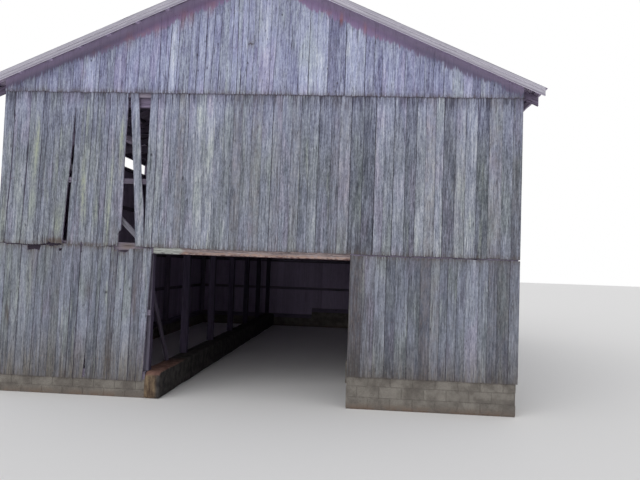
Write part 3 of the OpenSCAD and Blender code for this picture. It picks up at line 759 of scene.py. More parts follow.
# Middle of the joint between the two tiers of the front wall, and how far it stands open, from left to right
JOINT_LINE = ((-4.88, 2.802), (-4.71, 2.800), (-4.70, 2.783), (-4.43, 2.784), (-4.13, 2.775), (-3.94, 2.800),
              (-3.80, 2.833), (-3.64, 2.819), (-3.52, 2.814), (-3.25, 2.794), (-2.96, 2.776), (-2.73, 2.793),
              (-2.63, 2.777), (-2.50, 2.775), (-1.86, 2.785))
JOINT_OPEN = ((-4.88, 0.010), (-3.95, 0.010), (-3.90, 0.004), (-3.49, -0.004), (-2.60, -0.004),
              (-2.50, 0.012))
GABLE_CLEAR = 0.002


def lower_head_line(s):
    """Heads of the lower boards left of the doorway"""
    return along_line(JOINT_LINE, s) - along_line(JOINT_OPEN, s) / 2


def middle_foot_line(s):
    """Feet of the middle boards left of the gap"""
    return along_line(JOINT_LINE, s) + along_line(JOINT_OPEN, s) / 2


def gable_head_line(s):
    """Heads of the gable boards, right under the roof sheets"""
    return gable_high.z - slope * np.abs(s) - GABLE_CLEAR


def nail_heights(node):
    """Heights at which boards are nailed to a wall's girts"""
    heights = []
    for points, _ in solids_of(node):
        z = [p[2] for p in points]
        heights.append((min(z) + max(z)) / 2)
    return sorted({round(h, 3) for h in heights})


class Wall:
    """Makes the boards of one side of the barn, all from one row of random draws"""

    def __init__(self, seed, material):
        self.rng = random.Random(SEED + seed)
        self.material = material
        self.nails = None

    def nail_to(self, girts, nails):
        """Has the boards nailed wherever they cross the girts"""
        self.nails = {"piece": nails, "heights": nail_heights(girts)}

    def joints(self, start, end, gaps=(SHUT,)):
        """Random joints from one place to another"""
        return random_joints(self.rng, start, end, gaps)

    def joints_after(self, first, end):
        """The given joints, then random ones up to the end"""
        return [*first, *random_joints(self.rng, first[-1]["foot"], end, ends=False), joint(end, end, 0)]

    def boards(self, piece, plane, level, joints, foot, head, **lines):
        """Adds boards to a piece"""
        add_boards(piece, plane, joints, foot, head, self.rng, level, nails=self.nails, **lines)

    def tier(self, node, *given, **lines):
        """The boards of one node"""
        piece = Piece(node.replace("siding", "boards"))
        self.boards(piece, *given, **lines)
        self.build(piece, node)

    def build(self, piece, node):
        """Has a piece stand for a node of boards"""
        piece.build(self.material, "siding_boards", node)


def make_front_boards(material, nails):
    """The boards of the front wall, some as photographed and the others at random"""
    wall = Wall(0, material)
    wall.nail_to("girts_front", nails)
    right_low, right_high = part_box("siding_lower_right")
    wall.tier("siding_lower_left", front_wall, LEVEL_LOWER, LOWER_LEFT, lower_foot, lower_head,
              head_line=lower_head_line)
    wall.tier("siding_lower_right", front_wall, LEVEL_LOWER,
              wall.joints(right_low.x, right_high.x, MIXED_GAPS), right_low.z, right_high.z)
    wall.tier("siding_middle_left", front_wall, LEVEL_MIDDLE, MIDDLE_LEFT, middle_foot, middle_head,
              foot_line=middle_foot_line)
    wall.tier("siding_middle_centre", front_wall, LEVEL_MIDDLE, MIDDLE_CENTRE, middle_foot, middle_head,
              foot_line=middle_foot_line)
    wall.tier("siding_middle_right", front_wall, LEVEL_MIDDLE,
              wall.joints_after(MIDDLE_RIGHT_START, half_w), middle_foot, middle_head)
    wall.tier("siding_gable_front", front_gable, LEVEL_GABLE,
              wall.joints_after(GABLE_START, half_w), gable_foot, ridge_z,
              head_line=gable_head_line, painted=True)


def make_loose_board(material):
    """The one board that hangs aslant in the gap"""
    low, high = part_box("loose_board")
    wall = Wall(1, material)
    piece = Piece("board_loose")
    wall.boards(piece, front_wall, LEVEL_MIDDLE, LOOSE_BOARD, low.z, high.z)
    wall.build(piece, "loose_board")


def make_back_boards(material, nails):
    """The boards of the back wall, whose foot follows the step of the foundation"""
    wall = Wall(2, material)
    wall.nail_to("girts_back", nails)
    low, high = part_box("siding_back_lower")
    feet = corners("siding_back_lower")
    high_foot = feet[feet[:, 0] > half_w - NEAR][:, 2].min()
    piece = Piece("boards_back_lower")
    for start, end, foot in ((-half_w, 0.0, high_foot), (0.0, half_w, low.z)):
        wall.boards(piece, back_wall, LEVEL_LOWER, wall.joints(start, end), foot, high.z)
    wall.build(piece, "siding_back_lower")
    wall.tier("siding_back_middle", back_wall, LEVEL_MIDDLE, wall.joints(-half_w, half_w),
              middle_foot, middle_head)
    wall.tier("siding_gable_back", back_gable, LEVEL_GABLE, wall.joints(-half_w, half_w),
              gable_foot, ridge_z, head_line=gable_head_line, painted=True)


def make_side_boards(material, nails):
    """The boards of both long walls"""
    wall = Wall(3, material)
    for side, plane in (("left", left_wall), ("right", right_wall)):
        wall.nail_to(f"girts_{side}", nails)
        for part, level in (("lower", LEVEL_LOWER), ("upper", LEVEL_MIDDLE)):
            node = f"siding_{side}_{part}"
            low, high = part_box(node)
            wall.tier(node, plane, level, wall.joints(low.y, high.y), low.z, high.z)


# Timbers: the frame's own solids with their edges rounded off and a grain along each

def solids_of(node):
    """The separate solids of a node, each as points and flat faces"""
    shape = bmesh.new()
    shape.from_mesh(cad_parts[node].data)
    bmesh.ops.remove_doubles(shape, verts=shape.verts, dist=WELD)
    bmesh.ops.dissolve_limit(shape, angle_limit=math.radians(1), verts=shape.verts, edges=shape.edges)
    shape.verts.ensure_lookup_table()
    shape.verts.index_update()
    shape.faces.index_update()
    seen = set()
    solids = []
    for start in shape.verts:
        if start.index in seen:
            continue
        group = [start]
        seen.add(start.index)
        for vert in group:
            others = [line.other_vert(vert) for line in vert.link_edges]
            new = [other for other in others if other.index not in seen]
            seen.update(other.index for other in new)
            group.extend(new)
        order = {vert.index: k for k, vert in enumerate(group)}
        faces = sorted({face for vert in group for face in vert.link_faces}, key=lambda face: face.index)
        cut = [[order[v.index] for v in face.verts] for face in faces]
        solids.append(([tuple(vert.co) for vert in group], cut))
    shape.free()
    return solids


def long_axis(points, faces):
    """Direction of the longest edge of a solid"""
    best = Vector((0, 0, 0))
    for face in faces:
        for a, b in zip(face, face[1:] + face[:1]):
            line = Vector(points[b]) - Vector(points[a])
            if line.length > best.length + WELD:
                best = line
    return best.normalized()


def cut_across(shape, place, normal):
    """Cuts all faces of a shape where a plane passes"""
    everything = [*shape.verts, *shape.edges, *shape.faces]
    bmesh.ops.bisect_plane(shape, geom=everything, plane_co=place, plane_no=normal)


def in_order(faces):
    """The same faces in a fixed order, each from its lowest corner on"""
    turned = []
    for face in faces:
        start = face.index(min(face))
        turned.append(face[start:] + face[:start])
    return sorted(turned)


def hewn(points, faces, rounding, wander, step, seed, segments=1, levels=()):
    """A copy of a solid with rounded edges and a slightly uneven surface, cut into lengths and at levels"""
    axis = long_axis(points, faces)
    shape = bmesh.new()
    verts = [shape.verts.new(p) for p in points]
    for face in faces:
        shape.faces.new([verts[k] for k in face])
    bmesh.ops.bevel(shape, geom=shape.edges[:], offset=rounding, segments=segments, profile=0.5,
                    affect="EDGES", clamp_overlap=True)
    middles = [v.co.dot(axis) for v in shape.verts]
    low, high = min(middles), max(middles)
    cuts = int((high - low) / step)
    for i in range(cuts):
        cut_across(shape, axis * (low + (high - low) * (i + 1) / (cuts + 1)), axis)
    for level in levels:
        cut_across(shape, (0, 0, level), UP)
    for v in shape.verts:
        v.co = v.co + wander * noise.noise_vector(v.co * WANDER_PITCH + Vector((seed, seed * 0.7, 0)))
    shape.verts.index_update()
    new_points = [tuple(v.co) for v in shape.verts]
    new_faces = in_order([[v.index for v in f.verts] for f in shape.faces])
    shape.free()
    return new_points, new_faces, axis


def grain_along(points, axis, rng):
    """Grain places of points for a timber whose grain runs along an axis"""
    side = axis.cross(Vector(UP))
    side = Vector((1, 0, 0)) if side.length < 0.1 else side.normalized()
    basis = np.array([side, axis, axis.cross(side)])
    return np.asarray(points) @ basis.T + random_shift(rng)


def add_hewn(piece, solid, rounding, wander, step, rng, last=LEVEL_MIDDLE, tone=None, axis=None, stains=(),
             **cuts):
    """Adds a hewn copy of a solid. last is the third part of its tone, and axis its grain's own direction"""
    points, faces, length_axis = hewn(*solid, rounding, wander, step, rng.uniform(0, 50), **cuts)
    tone = tone or (rng.random(), rng.random(), last)
    places = np.array(points)
    piece.add(points, faces, grain_along(points, axis or length_axis, rng), tone,
              stain=stains_at(stains, places[:, 0], places[:, 2]))


def dress(node, ending, material, slot, rng, rounding=HEWN_EDGE, wander=HEWN_WANDER, step=HEWN_STEP,
          stains=(), levels=(), bleach=0.0):
    """A finished copy of a node of timbers. bleach is how grey its front face has gone"""
    piece = Piece(node + ending)
    for solid in solids_of(node):
        add_hewn(piece, solid, rounding, wander, step, rng, bleach, stains=stains, levels=levels)
    piece.build(material, slot, node)


FRAME_NODES = ("sills_end", "sills_side", "wall_posts", "tie_beams", "queen_posts",
               "roof_plates", "knee_braces", "gable_studs", "rafters_left", "rafters_right")
FAR_GIRT_NODES = ("girts_back", "girts_left", "girts_right", "purlins")
# Heights near the joint between the tiers at which the front girts are cut, for the stains and the painted
# shade there
JOINT_LEVELS = tuple(middle_foot - 0.10 + 0.02 * i for i in range(9))


def make_timbers(hewn_wood, sawn_wood, shaded_post_wood, lintel):
    """Every timber of the frame, the girts and the purlins"""
    rng = random.Random(SEED + 4)
    dress("door_header", "_timber", lintel, "frame_timber", rng, step=HEADER_STEP)
    dress("wind_braces", "_timber", hewn_wood, "frame_timber", rng, stains=BRACE_SHADE_STAINS, bleach=BLEACH_BRACES)
    dress("door_posts", "_timber", shaded_post_wood, "frame_timber", rng, bleach=BLEACH_DOOR_POSTS)
    dress("drive_posts", "_timber", shaded_post_wood, "frame_timber", rng)
    for node in FRAME_NODES:
        dress(node, "_timber", hewn_wood, "frame_timber", rng)
    dress("girts_front", "_rails", sawn_wood, "girt_timber", rng, SAWN_EDGE, SAWN_WANDER, GIRT_STEP,
          GIRT_STAINS_AND_SHADE, JOINT_LEVELS, BLEACH_GIRTS)
    for node in FAR_GIRT_NODES:
        dress(node, "_rails", sawn_wood, "girt_timber", rng, SAWN_EDGE, SAWN_WANDER, FAR_STEP)


# Six faces of a box whose eight corners come in three nested loops
BOX_FACES = [[0, 2, 3, 1], [4, 5, 7, 6], [0, 1, 5, 4], [2, 6, 7, 3], [0, 4, 6, 2], [1, 3, 7, 5]]


def add_rake_strip(piece, side, end, rng):
    """The strip on one rake board: side is left or right of the ridge, end the front (-1) or back (1)"""
    top = rake_high.z - ridge_z - STRIP_DROP
    points = []
    for y in (end * (STRIP_T - rake_low.y), -end * (rake_low.y + STRIP_TUCK)):
        for x in (STRIP_ENDS[0], eave_x - STRIP_ENDS[1]):
            points += [(side * x, y, roofline(x) + top - drop) for drop in (STRIP_H, 0.0)]
    faces = [face[::-1] for face in BOX_FACES] if side * end > 0 else BOX_FACES
    add_hewn(piece, (points, faces), STRIP_EDGE, STRIP_WANDER, STRIP_STEP, rng)


def make_rake_boards(material):
    """The rake boards and their strips"""
    rng = random.Random(SEED + 5)
    for side, name in ((-1, "left"), (1, "right")):
        node = f"rake_boards_{name}"
        piece = Piece(node + "_planks")
        for solid in solids_of(node):
            add_hewn(piece, solid, SAWN_EDGE, SAWN_WANDER, RAKE_STEP, rng)
        for end in (-1, 1):
            add_rake_strip(piece, side, end, rng)
        piece.build(material, "rake_wood", node)


# Foundations, footings and the curb

def add_box(piece, low, high, rounding, wander, tone, rng, step=10.0):
    """A rounded box between two corners"""
    points = [(x, y, z) for z in (low[2], high[2]) for y in (low[1], high[1]) for x in (low[0], high[0])]
    add_hewn(piece, (points, BOX_FACES), rounding, wander, step, rng, tone=tone, axis=Vector((0, 1, 0)))


def add_block_wall(piece, low, high, rng):
    """Courses of blocks down from the top of a wall, in half bond, with the mortar a little behind them"""
    along = 0 if high.x - low.x > high.y - low.y else 1
    inset = Vector((MORTAR_DEPTH, MORTAR_DEPTH, 0))
    top_inset = inset + Vector((0, 0, MORTAR_EDGE))
    add_box(piece, low + inset, high - top_inset, MORTAR_EDGE, 0.0, MORTAR_TONE, rng)
    top = high.z
    course = 0
    while top - low.z > LEAST_BLOCK:
        start = low[along] - (BLOCK_LENGTH / 2 if course % 2 else 0.0)
        while start < high[along] - LEAST_BLOCK:
            block_low, block_high = low.copy(), high.copy()
            block_low[along] = max(start, low[along])
            block_high[along] = min(start + BLOCK_LENGTH - MORTAR, high[along])
            block_low.z = max(low.z, top - BLOCK_HEIGHT + MORTAR)
            block_high.z = top
            if block_high[along] - block_low[along] > LEAST_BLOCK:
                tone = (rng.random(), rng.random(), 0.0)
                add_box(piece, block_low, block_high, BLOCK_EDGE, BLOCK_WANDER, tone, rng)
            start += BLOCK_LENGTH
        top -= BLOCK_HEIGHT
        course += 1


def foundation_boxes(node):
    """Lowest and highest corners of the one or two boxes that a foundation node is made of"""
    found = [np.array(points) for points, _ in solids_of(node)]
    if len(found) == 1 and len(found[0]) > 8:
        points = found[0]
        right = points[points[:, 0] > -NEAR]
        left = points[points[:, 0] < NEAR]
        left_top = left[left[:, 0] < -NEAR][:, 2].max()
        found = [left[left[:, 2] <= left_top + NEAR], right]
    return [(Vector(points.min(0)), Vector(points.max(0))) for points in found]


def make_foundations(material):
    """The block walls, and the cast footings under the posts"""
    rng = random.Random(SEED + 6)
    for name in ("front_left", "front_right", "left", "right", "back"):
        piece = Piece(f"blocks_{name}")
        for low, high in foundation_boxes("foundation_" + name):
            add_block_wall(piece, low, high, rng)
        piece.build(material, "concrete", "foundation_" + name)
    piece = Piece("footings_cast")
    for points, _ in solids_of("post_footings"):
        tone = (rng.random(), rng.random(), 0.0)
        low, high = np.min(points, 0), np.max(points, 0)
        add_box(piece, low, high, FOOTING_EDGE, FOOTING_WANDER, tone, rng, FOOTING_STEP)
    piece.build(material, "concrete", "post_footings")


def make_curb(material):
    """The worn curb along the drive"""
    piece = Piece("curb_worn")
    add_hewn(piece, solids_of("drive_curb")[0], CURB_EDGE, CURB_WANDER, CURB_STEP, random.Random(SEED + 7),
             tone=(0.5, 0.5, 0.5), segments=3, levels=CURB_LEVELS)
    piece.build(material, "curb", "drive_curb", smooth=50)


# The roof: crimped sheets in two courses, nails on their crimps, and the ridge cap

def slope_plane(side):
    """The rafters' top on one slope: along runs down from the ridge, out is off the roof"""
    down = (side * math.cos(slope_angle), 0, -math.sin(slope_angle))
    return Plane((0, 0, ridge_z), (0, -side, 0), down)


def crimps_of(start):
    """Places of the crimps of the sheet that starts at a place, the last one over the next sheet's first"""
    first = start + CRIMP_FIRST
    between = first + (CRIMP_PAIR + sheet_cover) / 2
    return (first, first + CRIMP_PAIR, between, start + sheet_cover + CRIMP_FIRST)


def crimp_line(start, first, last):
    """Points across one sheet as (place, height)"""
    line = [(start if first else start - SIDE_TUCK, 0.0)]
    for middle in crimps_of(start):
        line += [(middle - CRIMP_HALF, 0.0), (middle - CREST_HALF, CRIMP_H),
                 (middle + CREST_HALF, CRIMP_H), (middle + CRIMP_HALF, 0.0)]
    if last:
        return np.array([p for p in line if p[0] <= start + sheet_cover] + [(start + sheet_cover, 0.0)])
    return np.array([*line, (line[-1][0] + SIDE_LAP, 0.0)])


def add_sheet(piece, plane, start, top, foot, lift, rng, first, last):
    """One roof sheet from top to foot along the slope, its foot lifted over the sheet below"""
    line = crimp_line(start, first, last)
    count = max(3, round((foot - top) / SHEET_STEP))
    t = np.linspace(top, foot, count)
    height = np.interp(t, (top, foot), (0.0, lift)) + smooth_walk(rng, count, SHEET_WAVE)
    s, t = np.meshgrid(line[:, 0], t)
    height = PURLIN_T + ROOF_CLEAR + (line[:, 1] + height[:, None])
    if not last:
        height[:, -LAP_POINTS:] += LAP_RISE
    grain = np.stack([s, t, np.zeros_like(s)], -1) + random_shift(rng)
    edge = np.zeros_like(s)
    edge[:, (0, -1)] = 1
    end = np.exp(-(foot - t) / SHEET_END_REACH)
    wear = [np.stack([edge, np.full_like(s, inside), end], -1) for inside in (0.0, 1.0)]
    keep = np.ones((count - 1, len(line) - 1), bool)
    tone = (rng.random(), rng.random(), 0.5)
    add_slab(piece, plane.at(s, t, height + SHEET_T), plane.at(s, t, height), keep, grain, tone, *wear,
             np.zeros_like(grain))


def nail_sheet(nails, plane, start, purlins, rng):
    """Nails through the crests of one sheet's own crimps into the purlins"""
    for crest in crimps_of(start)[:-1]:
        for t in purlins:
            t_here = t + rng.uniform(-ROOF_NAIL_STRAY, ROOF_NAIL_STRAY)
            add_nail(nails, plane, crest, t_here, PURLIN_T + CRIMP_H + SHEET_T, rng)


def make_roof(material, nails):
    """The sheets of both slopes with their nails"""
    purlins = []
    for points, _ in solids_of("purlins"):
        x = [p[0] for p in points]
        purlins.append((min(x) + max(x)) / 2 / math.cos(slope_angle))
    purlins = [t for t in purlins if t > NAIL_FROM_RIDGE]
    for side, name in ((-1, "left"), (1, "right")):
        rng = random.Random(SEED + 8 + side)
        plane = slope_plane(side)
        piece = Piece(f"roof_tin_{name}")
        for i in range(sheet_count):
            start = -sheet_high.y + i * sheet_cover
            foot = slope_length - rng.uniform(0.0, SHEET_RAG)
            middle = slope_length / 2 + rng.uniform(-COURSE_RAG, COURSE_RAG)
            ends = (i == 0, i == sheet_count - 1)
            add_sheet(piece, plane, start, middle - COURSE_LAP, foot, 0.0, rng, *ends)
            add_sheet(piece, plane, start, SHEET_TOP, middle, COURSE_LIFT, rng, *ends)
            nail_sheet(nails, plane, start, purlins, rng)
        piece.build(material, "roof_metal", f"roof_sheets_{name}")


def make_ridge(material):
    """The ridge cap in lengths, each with its end tucked under the next"""
    rng = random.Random(SEED + 11)
    piece = Piece("ridge_roll")
    points, faces = solids_of("ridge_cap")[0]
    points = np.array(points)
    start, end = points[:, 1].min(), points[:, 1].max()
    length = (end - start) / RIDGE_LENGTHS
    near = points[:, 1] < (start + end) / 2
    for i in range(RIDGE_LENGTHS):
        own = points.copy()
        last = i == RIDGE_LENGTHS - 1
        far_end = start + (i + 1) * length + (0.0 if last else RIDGE_LAP)
        own[:, 1] = np.where(near, start + i * length, far_end)
        own[:, 2] -= np.where(near | last, 0.0, RIDGE_TUCK)
        piece.add(own, faces, grain_along(own, Vector((0, 1, 0)), rng), (rng.random(), rng.random(), 0.5))
    piece.build(material, "roof_metal", "ridge_cap", smooth=40)


def nail_shape():
    """Points and faces of one nail's head"""
    angles = [2 * math.pi * i / NAIL_SIDES for i in range(NAIL_SIDES)]
    ring = [(NAIL_R * math.cos(a), NAIL_R * math.sin(a), -NAIL_IN) for a in angles]
    rim = [(0.7 * x, 0.7 * y, NAIL_H) for x, y, _ in ring]
    following = [(i, (i + 1) % NAIL_SIDES) for i in range(NAIL_SIDES)]
    faces = [[i, k, k + NAIL_SIDES, i + NAIL_SIDES] for i, k in following]
    faces += [list(range(NAIL_SIDES))[::-1], list(range(NAIL_SIDES, 2 * NAIL_SIDES))]
    return np.array(ring + rim), faces


nail_points, nail_faces = nail_shape()


def add_nail(piece, plane, s, t, d, rng):
    """One nail's head on a plane"""
    points = plane.at(nail_points[:, 0] + s, nail_points[:, 1] + t, nail_points[:, 2] + d)
    piece.add(points, nail_faces, (s, t, d), (rng.random(), rng.random(), 0.5), NAIL_RUSTED)


# Materials

TIMBER_FACE_Y = -7.236
# Nearer the doorway than this the door posts' front faces stay dark, painted shade as dark as the inside
POST_GREY_X = 1.85
# Farther in than these the curb's side and top are painted dark as shade
CURB_SHADE_Y = -7.30
CURB_TOP_SHADE_Y = -6.35
# How far below the rafters' top a rake board ends, and the height over which painted shade darkens it there
RAKE_FOOT = ridge_z - rake_low.z - slope * eave_x
RAKE_SHADE_HEIGHT = 0.045
# Where the header changes from bare grey wood to a pinkish one with remnants of paint
HEADER_PINK_X = -1.29
# Height over the header's foot of its orange line, a painted highlight
HEADER_HIGHLIGHT_DROP = 0.035
# The upper tier turns bluer between these heights, partly from weathering and partly as painted sky glare,
# and the lowest boards are damp up to these
UPPER_BLUE = (4.4, 5.7)
STREAK_DROP = 0.30
DAMP_Z = (0.25, 1.5)
# How strong the grain is on the lower boards and on the others, and how much boards differ in brightness
TEXTURE_MEAN = 0.455
TEXTURE_LOWER = 0.80
TEXTURE_UPPER = 1.04
TONE_SPREAD = 0.34


def srgb(*levels):
    """A colour given in 0 to 255 as it should look"""
    linear = [(v / 255 / 12.92) if v <= 10 else ((v / 255 + 0.055) / 1.055) ** 2.4 for v in levels]
    return (*linear, 1.0)


GREY_WOOD = ((0.12, srgb(65, 68, 79)), (0.36, srgb(98, 102, 112)), (0.55, srgb(124, 128, 140)),
             (0.75, srgb(150, 154, 166)), (1.0, srgb(185, 188, 195)))
PALE_WOOD = ((0.12, srgb(86, 86, 112)), (0.36, srgb(124, 126, 154)), (0.55, srgb(150, 154, 181)),
             (0.75, srgb(173, 179, 202)), (1.0, srgb(206, 210, 224)))
TINTS = ((0.34, srgb(252, 255, 245)), (0.45, srgb(253, 253, 252)), (0.55, srgb(250, 251, 255)),
         (0.66, srgb(255, 247, 254)))


class Field:
    """A value that nodes work out. It can be added, subtracted and multiplied like a number"""

    def __init__(self, nodes, socket):
        self.nodes = nodes
        self.socket = socket

    def __add__(self, other):
        return self.nodes.math("ADD", self, other)

    def __sub__(self, other):
        return self.nodes.math("SUBTRACT", self, other)

    def __rsub__(self, other):
        return self.nodes.math("SUBTRACT", other, self)

    def __mul__(self, other):
        return self.nodes.math("MULTIPLY", self, other)

    __rmul__ = __mul__

    def __abs__(self):
        return self.nodes.math("ABSOLUTE", self)


class Nodes:
    """Short calls for the nodes of a material or the world"""

    def __init__(self, owner):
        owner.use_nodes = True
        self.tree = owner.node_tree
        self.tree.nodes.clear()

    def put(self, socket, value):
        """Gives a socket a field or a fixed value"""
        if isinstance(value, Field):
            self.tree.links.new(value.socket, socket)
        else:
            socket.default_value = value

    def add(self, kind, inputs, **settings):
        """A new node's outputs"""
        node = self.tree.nodes.new("ShaderNode" + kind)
        for name, value in settings.items():
            setattr(node, name, value)
        for key, value in inputs.items():
            self.put(node.inputs[key], value)
        return {key: Field(self, output) for k, output in enumerate(node.outputs) for key in (k, output.name)}

    def math(self, operation, a, b=0.0, clamp=False):
        """One step of reckoning"""
        return self.add("Math", {0: a, 1: b}, operation=operation, use_clamp=clamp)[0]

    def most(self, a, b, clamp=False):
        """The greater of two values"""
        return self.math("MAXIMUM", a, b, clamp)

    def capped(self, a, b):
        """The product of two values, held between 0 and 1"""
        return self.math("MULTIPLY", a, b, clamp=True)


class Material(Nodes):
    """A material with its shader, and short calls for its patterns"""

    def __init__(self, name, specular=0.2, metallic=0.0):
        self.material = bpy.data.materials.new(name)
        super().__init__(self.material)
        self.shader = self.tree.nodes.new("ShaderNodeBsdfPrincipled")
        self.shader.inputs["Specular IOR Level"].default_value = specular
        self.shader.inputs["Metallic"].default_value = metallic
        self.add("OutputMaterial", {0: Field(self, self.shader.outputs[0])})

    def parts(self, vector):
        """The three parts of a vector"""
        found = self.add("SeparateXYZ", {0: vector})
        return found[0], found[1], found[2]

    def attribute(self, name):
        """One of the values that each point of a piece has"""
        return self.add("Attribute", {}, attribute_name=name)["Vector"]

    def place(self):
        """Where the point is in the barn"""
        return self.add("TexCoord", {})["Object"]

    def normal(self):
        """Which way the surface faces"""
        return self.parts(self.add("NewGeometry", {})["Normal"])

    def scaled(self, vector, factors):
        """A vector with each part multiplied by its factor"""
        return self.add("VectorMath", {0: vector, 1: factors}, operation="MULTIPLY")[0]

    def noise(self, vector, factors, detail=3.0, rough=0.55):
        """Soft noise, as fine as the factors are large"""
        inputs = {"Vector": self.scaled(vector, factors), "Scale": 1.0, "Detail": detail, "Roughness": rough}
        inputs["Distortion"] = 0.0
        return self.add("TexNoise", inputs)[0]

    def streaks(self, vector, across, along, detail=3.0, low=0.3, high=0.7, rough=0.55):
        """Noise drawn out along the grain and spread to 0 to 1"""
        return self.span(self.noise(vector, (across, along, across), detail, rough), low, high)

    def span(self, value, low, high, to_low=0.0, to_high=1.0):
        """A value carried softly from one range to another"""
        inputs = {"Value": value, "From Min": low, "From Max": high, "To Min": to_low, "To Max": to_high}
        return self.add("MapRange", inputs, interpolation_type="SMOOTHSTEP")[0]

    def blend(self, factor, a, b, how="MIX"):
        """Two colours laid over each other"""
        return self.add("Mix", {0: factor, 6: a, 7: b}, data_type="RGBA", blend_type=how)[2]

    def ramp(self, value, *stops):
        """A colour between the given ones"""
        node = self.tree.nodes.new("ShaderNodeValToRGB")
        self.put(node.inputs[0], value)
        elements = node.color_ramp.elements
        while len(elements) < len(stops):
            elements.new(0.5)
        for element, (place, colour) in zip(elements, stops):
            element.position = place
            element.color = colour
        return Field(self, node.outputs[0])

    def cracks(self, grain, across, along, width):
        """Thin lines along the grain, 1 in their middle"""
        distance = abs(self.noise(grain, (across, along, across), 2.0) - 0.5)
        return self.span(distance, 0.0, width, 1.0, 0.0)

    def knots(self, grain, spacing, radius, share):
        """Round dark knots here and there, 1 in their middle"""
        factor = 1 / spacing
        vector = self.scaled(grain, (factor, factor * 0.6, factor))
        cell = self.add("TexVoronoi", {"Vector": vector, "Scale": 1.0})
        chosen = self.math("GREATER_THAN", self.parts(cell["Color"])[0], 1 - share)
        return self.span(cell["Distance"], radius * factor * 0.4, radius * factor, 1.0, 0.0) * chosen

    def finish(self, colour, roughness, height, depth):
        """Sets the shader's colour, roughness and bump"""
        self.put(self.shader.inputs["Base Color"], colour)
        self.put(self.shader.inputs["Roughness"], roughness)
        bump = self.add("Bump", {"Strength": 1.0, "Distance": depth, "Height": height})
        self.put(self.shader.inputs["Normal"], bump[0])
        return self.material


